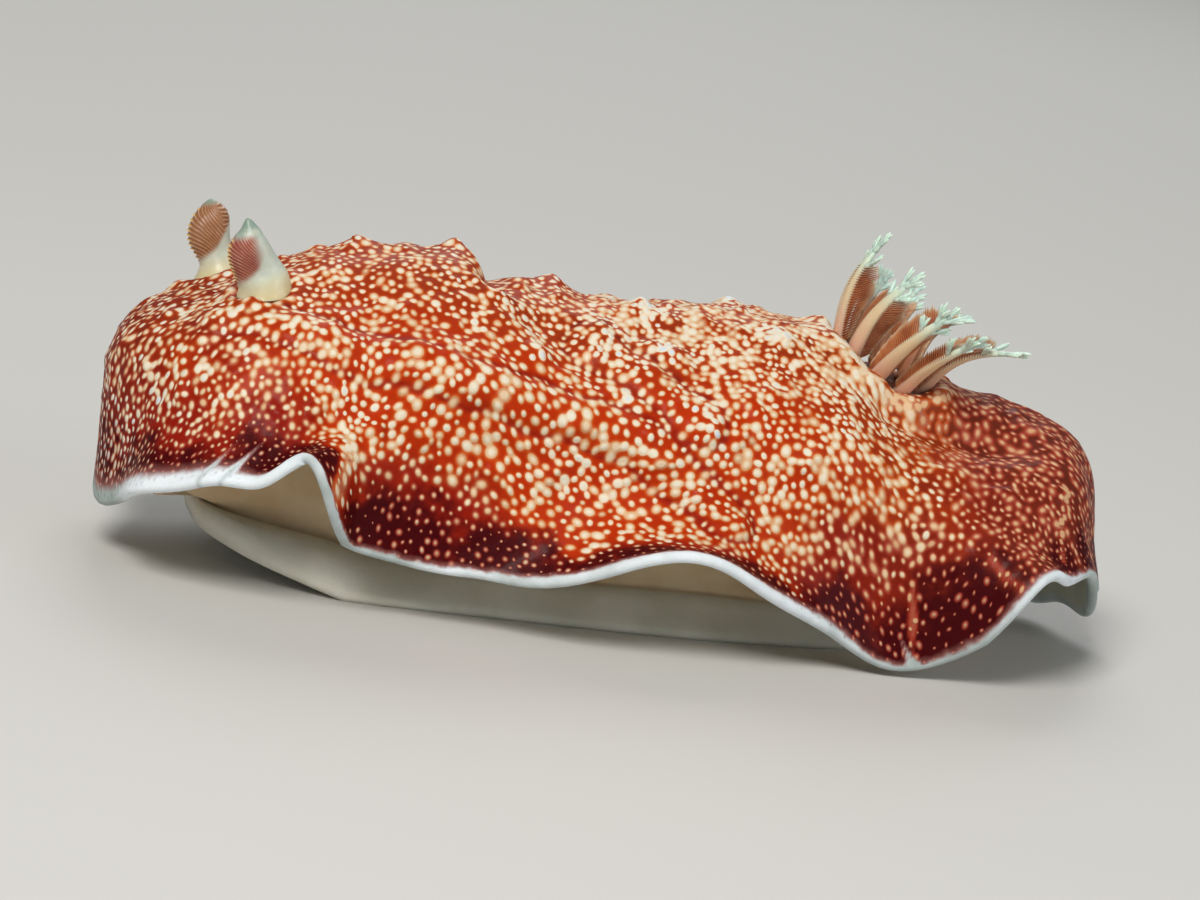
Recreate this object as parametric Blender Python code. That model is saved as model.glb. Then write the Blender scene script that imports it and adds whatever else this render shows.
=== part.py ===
"""A red-netted goniobranch, a sea slug, still and life size, crawling with its mantle edge lifted.

The mantle is a flat oval sheet draped over a spine. Round the rim its lower part swings out and
hangs down by turns, in folds. Under it are the body, head, foot and tail, and on it stand two
rhinophores and a ring of gills. Metres, +Z up, head towards -X, the sole on Z = 0.
"""

import math

import bmesh
import bpy
import numpy as np
from mathutils import Vector

MM = 0.001
GAP = 0.3 * MM

# The flat mantle, before it is draped
FLAT_MIDDLE = -2.0 * MM
FLAT_HALF_LENGTH = 36.5 * MM
FLAT_HALF_WIDTH = 21.5 * MM
SQUARENESS = 2.4

# The back that it is draped over
SPINE_HEAD = -16.5 * MM
SPINE_TAIL = 21.0 * MM
RIDGE = (
    (-16.5, 18.6), (-13.0, 19.4), (-9.5, 19.2), (-6.0, 18.2), (0.0, 17.8),
    (6.0, 18.2), (12.0, 17.7), (16.0, 16.0), (21.0, 15.0),
)
# Slope near the spine, slope of the skirt, and distance of the shoulder between them
SIDE_DRAPE = (33.0, 80.0, 11.0 * MM)
HEAD_DRAPE = (26.0, 94.0, 14.0 * MM)
TAIL_DRAPE = (13.0, 69.0, 7.4 * MM)
END_BLEND = 1.5
SPINE_ROUND = 4.0 * MM
SHOULDER_BEFORE = 3.0 * MM
SHOULDER_ROUND = 6.0 * MM
FOLD_START = 0.55
PROFILE_STEPS = 60
SMALLEST = 0.001 * MM
SLOPE_STEP = 0.05 * MM

# Folds of the rim: place along it from the head down the left side, half width, swing out in
# degrees, and extra length, all lengths in millimetres. Negative places go down the right side.
FOLDS = (
    (3.5, 6.0, 7.0, 2.4), (14.5, 4.5, 34.0, 0.3), (21.8, 4.6, 52.0, -0.5), (28.2, 3.2, 84.0, -1.9),
    (37.6, 4.4, 0.0, 1.2), (51.5, 7.4, 84.0, -0.9), (66.8, 6.3, 2.0, 2.05), (75.8, 4.0, 72.0, -0.7),
    (83.0, 3.6, 20.0, 0.1), (88.5, 3.2, 0.0, 2.6), (-94.6, 3.9, 0.0, 6.1), (-87.6, 4.8, 0.0, 6.6),
    (-66.0, 5.0, 55.0, 0.0), (-54.0, 5.0, 0.0, 0.8), (-40.0, 5.0, 62.0, 0.0), (-28.0, 5.0, 5.0, 0.4),
    (-14.0, 5.0, 24.0, 0.0),
)

# Thickness of the mantle, from the back to the rim
BACK_THICKNESS = 1.6 * MM
RIM_THICKNESS = 0.65 * MM
THIN_START = 0.5
THIN_END = 0.95

# Division of the mantle: edge of the back, its two cross cuts, and the skirt's cuts on each side
BACK_SHARE = 0.66
HEAD_CUT = -0.30
GILL_CUT = 0.28
SKIRT_CUTS = (9.0, 34.0, 59.0, 84.0)
SKIRT_GAP = 0.3 * MM
CELL = 1.5 * MM
GILL_CELL = 1.1 * MM
ROW_CELL = 1.2 * MM

# Folds of the back as lines of flat points, each with its height and half width, a furrow's
# height below zero, and tubercles as flat places with their heights, all in millimetres
FLANK_FOLD = ((-25.0, -5.5), (-18.4, -9.2), (-10.7, -11.4), (-5.2, -11.0), (-0.4, -12.0), (5.2, -16.4))
BACK_FOLD = ((-3.0, -5.6), (-0.2, -7.4), (3.2, -10.7))
TAIL_FURROW = ((16.0, -5.0), (19.5, -5.4), (23.0, -5.0))
NECK_FURROW = ((-8.2, 3.4), (-8.1, 0.6), (-8.5, -2.6))
RIGHT_FOLD = ((-22.0, 7.5), (-12.0, 10.5), (-2.0, 10.0), (8.0, 12.5))
FOLD_SIZES = (
    (FLANK_FOLD, 0.75, 1.6), (BACK_FOLD, 0.5, 1.4), (TAIL_FURROW, -0.8, 1.3),
    (RIGHT_FOLD, 0.6, 1.6), (NECK_FURROW, -1.0, 1.1),
)
TUBERCLES = (
    (-16.1, 1.2, 0.7), (-10.4, 1.0, 0.8), (-8.4, -3.8, 0.5), (-6.6, -7.6, 0.5), (-4.4, 1.3, 0.6),
    (-2.3, -4.4, 0.5), (0.5, -1.4, 0.4), (1.7, -5.6, 0.4), (3.9, -11.3, 0.4), (-13.0, 5.5, 0.5),
    (-5.5, 6.5, 0.5), (1.5, 4.5, 0.4), (7.0, 2.5, 0.4), (8.5, -3.5, 0.4),
)
TUBERCLE_RADIUS = 1.3 * MM

# Shares of a pocket's radius: width of its rim, its flat floor, and the wall round that
POCKET_RIM_WIDTH = 0.26
POCKET_FLOOR = 0.55
POCKET_WALL = 0.35

# Rhinophores: side, name, flat place in millimetres and lean forwards in degrees. The head is
# turned a little, so the right one stands further forward.
RHINOPHORES = (
    (-1, "rhinophore_left", -22.4, -3.7, 25.0), (1, "rhinophore_right", -24.1, 3.4, 18.0),
)
RHINOPHORE_LENGTH = 4.5 * MM
RHINOPHORE_SPREAD = 5.0
RHINOPHORE_PROFILE = (
    (0.0, 1.6), (0.14, 1.4), (0.30, 1.0), (0.40, 0.98), (0.52, 1.14), (0.64, 1.18),
    (0.80, 0.90), (0.92, 0.50), (1.0, 0.20),
)
LAMELLAE = 6
LAMELLA_START = 0.32
LAMELLA_END = 0.9
LAMELLA_DEPTH = 0.26 * MM
LAMELLA_SLANT = 0.35
LAMELLA_FADE = 0.1
LAMELLA_LEVEL = 0.4
LAMELLA_BACK = 0.3
RHINOPHORE_FOOT = 1.65 * MM
STALK_SHARE = 0.2
RHINOPHORE_BOW = 0.25 * MM
RHINOPHORE_SIDES = 12
RHINOPHORE_POCKET = (2.1 * MM, 0.3 * MM, 0.0)

# Gills in a ring, the front one in the middle of the count, each bent over to the rear
GILL_X = 16.2 * MM
GILL_POCKET = (4.1 * MM, 0.5 * MM, -0.7 * MM)
GILL_RING = 2.8 * MM
GILLS = 9
GILL_SPREAD = 35.0
GILL_LENGTH = 6.8 * MM
GILL_LENGTH_VARIATION = 0.05
GILL_BASE_RADIUS = 0.5 * MM
GILL_TIP_RADIUS = 0.17 * MM
GILL_RINGS = 8
GILL_SIDES = 6
GILL_FOOT = 0.15 * MM
GILL_UPRIGHT = 0.12
GILL_OUTWARD = 0.42
# Slope of a gill's far end in degrees, and its turn sideways, from the front gill to the rear ones
GILL_LIFTS = (64.0, 53.0, 47.0, 38.0, 2.0)
GILL_FLARES = (0.0, 0.35, 0.5, 0.65, 0.6)

# Leaflets down the inner face of a gill, and the fingers that it ends in: place along the gill,
# turn to its side and length. A leaflet or finger keeps clear of the next gill.
LEAFLET_PAIRS = 7
LEAFLET_SHARES = (0.16, 0.76)
LEAFLET_LENGTH = 1.7 * MM
LEAFLET_WIDTH = 0.62 * MM
LEAFLET_THICKNESS = 0.44 * MM
LEAFLET_TAPER = 0.5
LEAFLET_SIDES = 3
LEAFLET_INWARD = 1.1
LEAFLET_UPWARD = 0.75
FINGERS = ((0.78, -0.75, 1.5), (0.85, 0.7, 1.45), (0.93, -0.35, 1.3))
FINGER_WIDTH = 0.42 * MM
FINGER_INWARD = 0.15
FINGER_TAPER = 0.5
LEAFLET_CLEARANCE = 0.34 * MM
LEAFLET_SHORTEST = 0.2 * MM
LEAFLET_STEP = 0.05 * MM

# Body, head and foot, as (place along X, size) in millimetres
BODY_CUTS = (-20.0, -6.0, 9.0, 25.0)
CONTACT = ((-21.0, 8.0), (-12.0, 10.4), (8.0, 10.4), (18.0, 7.4), (26.0, 4.0))
WAIST = ((-21.0, 5.0), (-12.0, 5.9), (8.0, 5.9), (18.0, 3.9), (26.0, 1.6))
BODY_SWELL = 0.9 * MM
BODY_CELL = 2.2 * MM
REAR_RAKE = (14.0 * MM, 0.6)
FOOT_TOP = ((-24.0, 3.6), (-20.0, 3.2), (-14.0, 2.4), (8.0, 2.2), (20.0, 1.7), (26.0, 0.7))
FOOT_LIFT = ((-24.0, 2.3), (-20.0, 1.2), (-15.5, 0.0))
FOOT_HALF_WIDTH = (
    (-24.0, 5.2), (-21.5, 7.2), (-18.0, 7.9), (-8.0, 8.2), (8.0, 7.8), (15.0, 6.6),
    (21.0, 4.2), (26.0, 0.9),
)
FOOT_CUTS = (-23.8, -9.0, 8.0, 26.0)
FOOT_EDGE = 0.6 * MM
FOOT_SHELF = 0.76
FOOT_FRONT = -20.0 * MM
FOOT_FRONT_ROUND = 4.0 * MM
FOOT_CORNER = 1.6 * MM
HEAD_LENGTH = 6.4 * MM
HEAD_TOP = ((-27.0, 6.6), (-25.0, 8.6), (-23.0, 11.4), (-20.0, 15.4))
HEAD_HALF_WIDTH = ((-27.0, 3.0), (-25.0, 4.4), (-23.0, 5.2), (-20.0, 5.6))
MOUTH_HEIGHT = 5.2 * MM
MOUTH_HALF_WIDTH = 1.9 * MM
MOUTH_DEPTH = 0.5 * MM
MOUTH_GROOVE = 0.4 * MM
LIP = 0.3 * MM
LIP_HEIGHT = 1.1 * MM
LIP_START = 0.8
SNOUT_ROUND = 0.9
SNOUT_DOME = 0.9 * MM
DOME_START = 0.6
HEAD_PLUMP = 0.35
HEAD_ARCH = 0.3
HEAD_FLOOR_END = -23.4 * MM
TENTACLE_LENGTH = 2.4 * MM
TENTACLE_RADIUS = 0.75 * MM
TENTACLE_TIP = 0.28 * MM
TENTACLE_PLACE = (-25.3 * MM, 3.2 * MM, 4.7 * MM)
TENTACLE_WAY = (-0.62, 0.74, -0.26)

MANTLE_RED = (0.52, 0.045, 0.015)
SKIRT_MAROON = (0.22, 0.012, 0.010)
BODY_TAN = (0.62, 0.42, 0.24)
FOOT_CREAM = (0.80, 0.72, 0.60)
RHINOPHORE_BROWN = (0.45, 0.16, 0.09)
GILL_PINK = (0.66, 0.36, 0.27)


def eased(share):
    """Smooth step from 0 to 1."""
    share = np.clip(share, 0.0, 1.0)
    return share * share * (3.0 - 2.0 * share)


def curve_through(points, x):
    """Smooth value at x, through points given in millimetres, held level past the ends."""
    places = np.array([point[0] for point in points]) * MM
    values = np.array([point[1] for point in points]) * MM
    slopes = np.gradient(values, places)
    cell = np.clip(np.searchsorted(places, x) - 1, 0, len(places) - 2)
    width = places[cell + 1] - places[cell]
    t = np.clip((x - places[cell]) / width, 0.0, 1.0)
    start = (2 * t**3 - 3 * t**2 + 1) * values[cell] + (t**3 - 2 * t**2 + t) * width * slopes[cell]
    end = (3 * t**2 - 2 * t**3) * values[cell + 1] + (t**3 - t**2) * width * slopes[cell + 1]
    return start + end


def roundness(angle):
    """Distance to the rim of a unit squarish oval at an angle."""
    along = np.abs(np.cos(angle)) ** SQUARENESS
    across = np.abs(np.sin(angle)) ** SQUARENESS
    return (along + across) ** (-1.0 / SQUARENESS)


def flat_point(angle, share):
    """Flat mantle point at an angle and a share of the way to the rim."""
    reach = share * roundness(angle)
    x = FLAT_MIDDLE + FLAT_HALF_LENGTH * reach * np.cos(angle)
    return x, FLAT_HALF_WIDTH * reach * np.sin(angle)


def flat_polar(x, y):
    """Angle and share of the way to the rim of a flat point."""
    along = (x - FLAT_MIDDLE) / FLAT_HALF_LENGTH
    across = y / FLAT_HALF_WIDTH
    angle = np.arctan2(across, along)
    return angle, np.hypot(along, across) / roundness(angle)


RIM_ANGLES = np.linspace(-math.pi, math.pi, 1441)
RIM_X, RIM_Y = flat_point(RIM_ANGLES, 1.0)
RIM_PLACES = np.concatenate([[0.0], np.cumsum(np.hypot(np.diff(RIM_X), np.diff(RIM_Y)))])
RIM_LENGTH = RIM_PLACES[-1]


def rim_angle(place):
    """Angle of a place along the rim, measured from the head down the left side."""
    return np.interp(np.mod(place, RIM_LENGTH), RIM_PLACES, RIM_ANGLES)


def rim_folds(angle):
    """Swing out, in radians, and extra length of the rim at an angle."""
    place = np.interp(angle, RIM_ANGLES, RIM_PLACES)
    swing = np.zeros_like(place)
    reach = np.zeros_like(place)
    for middle, half_width, degrees, extra in FOLDS:
        offset = np.mod(place - middle * MM + RIM_LENGTH / 2, RIM_LENGTH) - RIM_LENGTH / 2
        near = np.exp(-(offset / (half_width * MM)) ** 2)
        swing += math.radians(degrees) * near
        reach += extra * MM * near
    return swing, reach


def drape(x, y):
    """Place of a flat mantle point on the animal."""
    spine = np.clip(x, SPINE_HEAD, SPINE_TAIL)
    away = np.hypot(x - spine, y)
    safe = np.maximum(away, SMALLEST)
    out_x = (x - spine) / safe
    out_y = y / safe
    head = np.clip(-out_x, 0.0, 1.0) ** END_BLEND
    tail = np.clip(out_x, 0.0, 1.0) ** END_BLEND
    side = 1.0 - head - tail
    shares = ((side, SIDE_DRAPE), (head, HEAD_DRAPE), (tail, TAIL_DRAPE))
    upper = sum(share * math.radians(slopes[0]) for share, slopes in shares)
    lower = sum(share * math.radians(slopes[1]) for share, slopes in shares)
    shoulder = sum(share * slopes[2] for share, slopes in shares)
    angle, rim_share = flat_polar(x, y)
    swing, reach = rim_folds(angle)
    fold_mean = (1.0 - FOLD_START) / 2
    level = np.zeros_like(away)
    drop = np.zeros_like(away)
    for step in range(PROFILE_STEPS):
        part = (step + 0.5) / PROFILE_STEPS
        run = part * away
        fold = eased((rim_share * part - FOLD_START) / (1.0 - FOLD_START))
        bend = eased((run - (shoulder - SHOULDER_BEFORE)) / SHOULDER_ROUND)
        slope = upper * eased(run / SPINE_ROUND) + (lower - upper) * bend - swing * fold
        stride = (away + reach * fold / fold_mean) / PROFILE_STEPS
        level += np.cos(slope) * stride
        drop += np.sin(slope) * stride
    height = curve_through(RIDGE, spine) - drop
    return np.stack([spine + out_x * level, out_y * level, height], axis=-1)


def drape_with_normal(x, y):
    """Place and outward direction of a flat mantle point."""
    along = drape(x + SLOPE_STEP, y) - drape(x - SLOPE_STEP, y)
    across = drape(x, y + SLOPE_STEP) - drape(x, y - SLOPE_STEP)
    normal = np.cross(along, across)
    return drape(x, y), normal / np.linalg.norm(normal, axis=-1, keepdims=True)


def distance_to_line(x, y, line):
    """Distance from flat points to a line of flat points in millimetres."""
    best = np.full_like(x, 1.0)
    for start, end in zip(line[:-1], line[1:]):
        first = np.array(start) * MM
        span = np.array(end) * MM - first
        t = ((x - first[0]) * span[0] + (y - first[1]) * span[1]) / (span @ span)
        t = np.clip(t, 0.0, 1.0)
        gap = np.hypot(x - first[0] - t * span[0], y - first[1] - t * span[1])
        best = np.minimum(best, gap)
    return best


def pocket(away, radius, rim, floor):
    """Height of a round pocket with a raised rim, at a distance from its middle."""
    lip = rim * np.exp(-((away - radius) / (POCKET_RIM_WIDTH * radius)) ** 2)
    return lip + floor * (1.0 - eased((away / radius - POCKET_FLOOR) / POCKET_WALL))


def relief(x, y):
    """Height of the folds, tubercles and pockets above the smooth mantle."""
    height = np.zeros_like(x)
    for line, tall, half_width in FOLD_SIZES:
        away = distance_to_line(x, y, line) / (half_width * MM)
        height += tall * MM * np.exp(-away**2)
    for place_x, place_y, tall in TUBERCLES:
        away = np.hypot(x - place_x * MM, y - place_y * MM) / TUBERCLE_RADIUS
        height += tall * MM * np.exp(-away**2)
    for _, _, place_x, place_y, _ in RHINOPHORES:
        away = np.hypot(x - place_x * MM, y - place_y * MM)
        height += pocket(away, *RHINOPHORE_POCKET)
    height += pocket(np.hypot(x - GILL_X, y), *GILL_POCKET)
    return height


def mantle_top(x, y, above=0.0):
    """Outer face of the mantle at a flat point."""
    place, normal = drape_with_normal(x, y)
    return place + normal * (relief(x, y) + above)[..., None]


def mantle_under(x, y, below=0.0):
    """Inner face of the mantle at a flat point."""
    place, normal = drape_with_normal(x, y)
    share = flat_polar(x, y)[1]
    thin = eased((share - THIN_START) / (THIN_END - THIN_START))
    thickness = BACK_THICKNESS + (RIM_THICKNESS - BACK_THICKNESS) * thin
    return place - normal * (thickness + below)[..., None]


def shade_smooth(mesh, degrees):
    """Smooth shading with the sharper edges kept."""
    mesh.shade_smooth()
    mesh.set_sharp_from_angle(angle=math.radians(degrees))


def face_outwards(bm):
    """Turn the faces of a closed mesh outwards, also on a thin curved sheet."""
    bmesh.ops.recalc_face_normals(bm, faces=bm.faces[:])
    if bm.calc_volume(signed=True) < 0.0:
        bmesh.ops.reverse_faces(bm, faces=bm.faces[:])


def add_node(name, bm, material, degrees=50.0):
    """Finish a mesh and put it in the model's collection."""
    face_outwards(bm)
    mesh = bpy.data.meshes.new(name)
    bm.to_mesh(mesh)
    bm.free()
    shade_smooth(mesh, degrees)
    mesh.materials.append(material)
    node = bpy.data.objects.new(name, mesh)
    bpy.data.collections["goniobranch"].objects.link(node)
    return node


def block(columns, rows, layers):
    """A block from a grid pulled up in layers, split alike on both faces, one unit each way."""
    bm = bmesh.new()
    bmesh.ops.create_grid(bm, x_segments=columns, y_segments=rows, size=0.5)
    bmesh.ops.triangulate(bm, faces=bm.faces[:])
    top = bm.faces[:]
    for layer in range(layers):
        pulled = bmesh.ops.extrude_face_region(bm, geom=top)["geom"]
        corners = [item for item in pulled if isinstance(item, bmesh.types.BMVert)]
        bmesh.ops.translate(bm, verts=corners, vec=(0.0, 0.0, 1.0 / layers))
        if layer > 0:
            bmesh.ops.delete(bm, geom=[face for face in top if face.is_valid], context="FACES")
        top = [item for item in pulled if isinstance(item, bmesh.types.BMFace)]
    return bm


def move_vertices(bm, place):
    """Move each vertex of a unit block to place(u, v, w)."""
    where = np.array([vertex.co[:] for vertex in bm.verts])
    moved = place(where[:, 0] + 0.5, where[:, 1] + 0.5, where[:, 2])
    for vertex, target in zip(bm.verts, moved):
        vertex.co = target
    return bm


def between(start, end, share):
    """Value a share of the way from start to end."""
    return start + (end - start) * share


def through_thickness(x, y, depth):
    """Mantle point at a depth of 0 on the outer face and 1 on the inner one."""
    outer = mantle_top(x, y)
    return outer + (mantle_under(x, y) - outer) * depth[..., None]


def disc_point(a, b):
    """Angle and share of a disc for a square's point, so that even cells stay even."""
    wide = np.abs(a) >= np.abs(b)
    main = np.where(wide, a, b)
    other = np.where(wide, b, a)
    turn = math.pi / 4 * other / np.where(main == 0.0, 1.0, main)
    angle = np.where(wide, turn, math.pi / 2 - turn) + np.where(main < 0.0, math.pi, 0.0)
    return np.mod(angle + math.pi, 2 * math.pi) - math.pi, np.abs(main)


def make_back(name, start, end, cell, material):
    """One part of the thick back of the mantle, between two cross cuts."""
    columns = round((end - start) * FLAT_HALF_LENGTH / cell)
    rows = round(2 * BACK_SHARE * FLAT_HALF_WIDTH / ROW_CELL)
    edge = BACK_SHARE - GAP / 2 / FLAT_HALF_WIDTH

    def place(u, v, w):
        angle, share = disc_point(between(start, end, u), between(-edge, edge, v))
        x, y = flat_point(angle, share)
        return through_thickness(x, y, w)

    add_node(name, move_vertices(block(columns, rows, 1), place), material)


def make_skirt(name, start, end, material):
    """One length of the thin skirt, between two places along the rim."""
    columns = round((end - start) / CELL)
    rows = round((1.0 - BACK_SHARE) * FLAT_HALF_WIDTH * 1.25 / CELL)
    inner = BACK_SHARE + GAP / 2 / FLAT_HALF_WIDTH

    def place(u, v, w):
        angle = rim_angle(between(start + SKIRT_GAP, end - SKIRT_GAP, u))
        x, y = flat_point(angle, between(inner, 1.0, v))
        return through_thickness(x, y, w)

    add_node(name, move_vertices(block(columns, rows, 1), place), material)


def make_mantle():
    """Back and skirt of the mantle."""
    red = make_material("mantle_red", MANTLE_RED, 0.45)
    maroon = make_material("skirt_maroon", SKIRT_MAROON, 0.45)
    half_gap = GAP / 2 / FLAT_HALF_LENGTH
    edge = BACK_SHARE - half_gap
    make_back("mantle_head", -edge, HEAD_CUT - half_gap, CELL, red)
    make_back("mantle_back", HEAD_CUT + half_gap, GILL_CUT - half_gap, CELL, red)
    make_back("mantle_gill", GILL_CUT + half_gap, edge, GILL_CELL, red)
    first, second, third, fourth = (cut * MM for cut in SKIRT_CUTS)
    make_skirt("skirt_head", -first, first, maroon)
    make_skirt("skirt_left_front", first, second, maroon)
    make_skirt("skirt_left_middle", second, third, maroon)
    make_skirt("skirt_left_rear", third, fourth, maroon)
    make_skirt("skirt_tail", fourth, RIM_LENGTH - fourth, maroon)
    make_skirt("skirt_right_rear", RIM_LENGTH - fourth, RIM_LENGTH - third, maroon)
    make_skirt("skirt_right_middle", RIM_LENGTH - third, RIM_LENGTH - second, maroon)
    make_skirt("skirt_right_front", RIM_LENGTH - second, RIM_LENGTH - first, maroon)


def body_bottom(x, side):
    """Lower face of the body, where it meets the foot."""
    raked = np.maximum(x - REAR_RAKE[0], 0.0) * REAR_RAKE[1]
    bottom_x = np.minimum(x, REAR_RAKE[0]) + raked
    height = curve_through(FOOT_TOP, bottom_x) + GAP
    return np.stack([bottom_x, side * curve_through(WAIST, x), height], axis=-1)


def make_body():
    """Three lengths of the body, from the foot up to the mantle's inner face."""
    tan = make_material("body_tan", BODY_TAN, 0.4)
    names = ("body_front", "body_middle", "body_rear")
    for name, start, end in zip(names, BODY_CUTS[:-1], BODY_CUTS[1:]):
        first = start * MM + GAP / 2
        last = end * MM - GAP / 2

        def place(u, v, w, first=first, last=last):
            x = between(first, last, u)
            side = 2.0 * v - 1.0
            top = mantle_under(x, side * curve_through(CONTACT, x), GAP)
            bottom = body_bottom(x, side)
            swell = side * BODY_SWELL * np.sin(math.pi * w)
            point = bottom + (top - bottom) * w[..., None]
            point[..., 1] += swell
            return point

        columns = round((last - first) / BODY_CELL)
        add_node(name, move_vertices(block(columns, 8, 4), place), tan)


def head_point(u, v, w):
    """Head, with u from the neck to the snout, and the lips and the line of the mouth."""
    x = BODY_CUTS[0] * MM - GAP / 2 - HEAD_LENGTH * u
    side = 2.0 * v - 1.0
    rise = 2.0 * w - 1.0
    round_end = np.sqrt(1.0 - (SNOUT_ROUND * u) ** 3)
    bottom = curve_through(FOOT_TOP, np.maximum(x, HEAD_FLOOR_END)) + GAP
    roof = mantle_under(x, side * curve_through(HEAD_HALF_WIDTH, x), 2 * GAP)[..., 2]
    top = np.minimum(curve_through(HEAD_TOP, x), roof)
    tall = (top - bottom) / 2 * round_end
    plump = np.sqrt(1.0 - HEAD_PLUMP * rise**2)
    y = side * curve_through(HEAD_HALF_WIDTH, x) * round_end * plump
    arch = np.sqrt(1.0 - HEAD_ARCH * side**2 * eased(3.0 * u))
    z = between(bottom, top, 0.5) + rise * tall * arch
    dome = SNOUT_DOME * (1.0 - side**2) * (1.0 - rise**2) * eased((u - DOME_START) / (1.0 - DOME_START))
    across = np.exp(-((y / MOUTH_HALF_WIDTH) ** 4))
    groove = np.exp(-(((z - MOUTH_HEIGHT) / MOUTH_GROOVE) ** 2))
    lips = np.exp(-(((z - MOUTH_HEIGHT) / LIP_HEIGHT) ** 2))
    front = eased((u - LIP_START) / (1.0 - LIP_START))
    mouth = across * front * (LIP * lips - (LIP + MOUTH_DEPTH) * groove)
    return np.stack([x - dome - mouth, y, z], axis=-1)


def make_head():
    """Head with its mouth, and the two oral tentacles beside it."""
    tan = make_material("head_tan", BODY_TAN, 0.4)
    add_node("head", move_vertices(block(6, 7, 9), head_point), tan)
    for side, name in ((-1, "oral_tentacle_left"), (1, "oral_tentacle_right")):
        bm = bmesh.new()
        bmesh.ops.create_cone(
            bm, cap_ends=True, cap_tris=True, segments=10,
            radius1=TENTACLE_RADIUS, radius2=TENTACLE_TIP, depth=TENTACLE_LENGTH,
        )
        bmesh.ops.translate(bm, verts=bm.verts[:], vec=(0.0, 0.0, TENTACLE_LENGTH / 2))
        forward, aside, up = TENTACLE_WAY
        turn = Vector((forward, side * aside, up)).to_track_quat("Z", "Y").to_matrix().to_4x4()
        bmesh.ops.transform(bm, matrix=turn, verts=bm.verts[:])
        x, y, z = TENTACLE_PLACE
        bmesh.ops.translate(bm, verts=bm.verts[:], vec=Vector((x, side * y, z)))
        add_node(name, bm, tan)


def foot_point(x, side, w):
    """Foot, flat below, thick in the middle and thin at its edges."""
    half_width = curve_through(FOOT_HALF_WIDTH, x)
    front = eased((FOOT_FRONT - x) / FOOT_FRONT_ROUND)
    low = curve_through(FOOT_LIFT, x)
    thick = curve_through(FOOT_TOP, x) - low
    edge = np.minimum(FOOT_EDGE, thick)
    flank = eased((np.abs(side) - FOOT_SHELF) / (1.0 - FOOT_SHELF))
    height = low + w * between(thick, edge, flank)
    return np.stack([x + front * FOOT_CORNER * side**2, side * half_width, height], axis=-1)


def make_foot():
    """Foot and tail, on one flat sole with its front end lifted."""
    cream = make_material("foot_cream", FOOT_CREAM, 0.35)
    names = ("foot_front", "foot_middle", "tail")
    for name, start, end in zip(names, FOOT_CUTS[:-1], FOOT_CUTS[1:]):
        first = start * MM + GAP / 2
        last = end * MM - GAP / 2

        def place(u, v, w, first=first, last=last):
            return foot_point(between(first, last, u), 2.0 * v - 1.0, w)

        columns = round((last - first) / BODY_CELL)
        add_node(name, move_vertices(block(columns, 10, 1), place), cream)


def rhinophore_axes(side, lean):
    """Directions up a leaning rhinophore, backwards and across it."""
    forward = math.radians(lean)
    spread = math.radians(RHINOPHORE_SPREAD)
    axis = np.array([-math.sin(forward), side * math.sin(spread), math.cos(forward)])
    axis /= np.linalg.norm(axis)
    back = np.cross(np.array([0.0, 1.0, 0.0]), axis)
    back /= np.linalg.norm(back)
    return axis, back, np.cross(axis, back)


def rhinophore_point(side, foot, lean, turn, share, spread):
    """Point on a rhinophore: turn from the back of it, share up it, spread from its axis."""
    axis, back, across = rhinophore_axes(side, lean)
    foot_x = np.full_like(share, foot[0])
    foot_y = np.full_like(share, foot[1])
    root = mantle_top(foot_x, foot_y)
    radius = curve_through(RHINOPHORE_PROFILE, share * MM)
    front = np.clip(-np.cos(turn), 0.0, 1.0) ** 0.5
    comb = (share - LAMELLA_START) / (LAMELLA_END - LAMELLA_START)
    wave = 0.5 - 0.5 * np.cos(2 * math.pi * (comb * LAMELLAE + LAMELLA_SLANT * np.sin(turn) * side))
    inside = eased(comb / LAMELLA_FADE) * eased((1.0 - comb) / LAMELLA_FADE)
    ridge = inside * (wave - LAMELLA_LEVEL) * between(LAMELLA_BACK, 1.0, front)
    radius = (radius + ridge * LAMELLA_DEPTH) * spread
    around = back * (np.cos(turn) * radius)[..., None] + across * (np.sin(turn) * radius)[..., None]
    climb = share * RHINOPHORE_LENGTH
    point = root + axis * climb[..., None] + around + back * (RHINOPHORE_BOW * share**2)[..., None]
    wide = RHINOPHORE_FOOT * spread
    seat = mantle_top(foot_x + wide * np.cos(turn), foot_y + wide * np.sin(turn), GAP)
    risen = eased(share / STALK_SHARE)[..., None]
    return seat + (point - seat) * risen


def make_rhinophores():
    """Two clubs with leaflets down their front faces."""
    brown = make_material("rhinophore_brown", RHINOPHORE_BROWN, 0.4)
    rings = 4 * LAMELLAE + 5
    for side, name, foot_x, foot_y, lean in RHINOPHORES:
        foot = (foot_x * MM, foot_y * MM)
        bm = bmesh.new()
        bmesh.ops.create_cone(
            bm, cap_ends=True, cap_tris=True, segments=RHINOPHORE_SIDES,
            radius1=1.0, radius2=1.0, depth=1.0,
        )
        upright = [edge for edge in bm.edges if abs(edge.verts[0].co.z - edge.verts[1].co.z) > 0.5]
        bmesh.ops.subdivide_edges(bm, edges=upright, cuts=rings - 1, use_grid_fill=True)
        where = np.array([vertex.co[:] for vertex in bm.verts])
        spread = np.minimum(np.hypot(where[:, 0], where[:, 1]), 1.0)
        turn = np.arctan2(where[:, 1], where[:, 0])
        moved = rhinophore_point(side, foot, lean, turn, where[:, 2] + 0.5, spread)
        for vertex, target in zip(bm.verts, moved):
            vertex.co = target
        add_node(name, bm, brown)


def gill_turn(index):
    """Direction of a gill's root from the middle of the ring, as an angle."""
    return math.radians(180.0 + (index - (GILLS - 1) / 2) * GILL_SPREAD)


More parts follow.
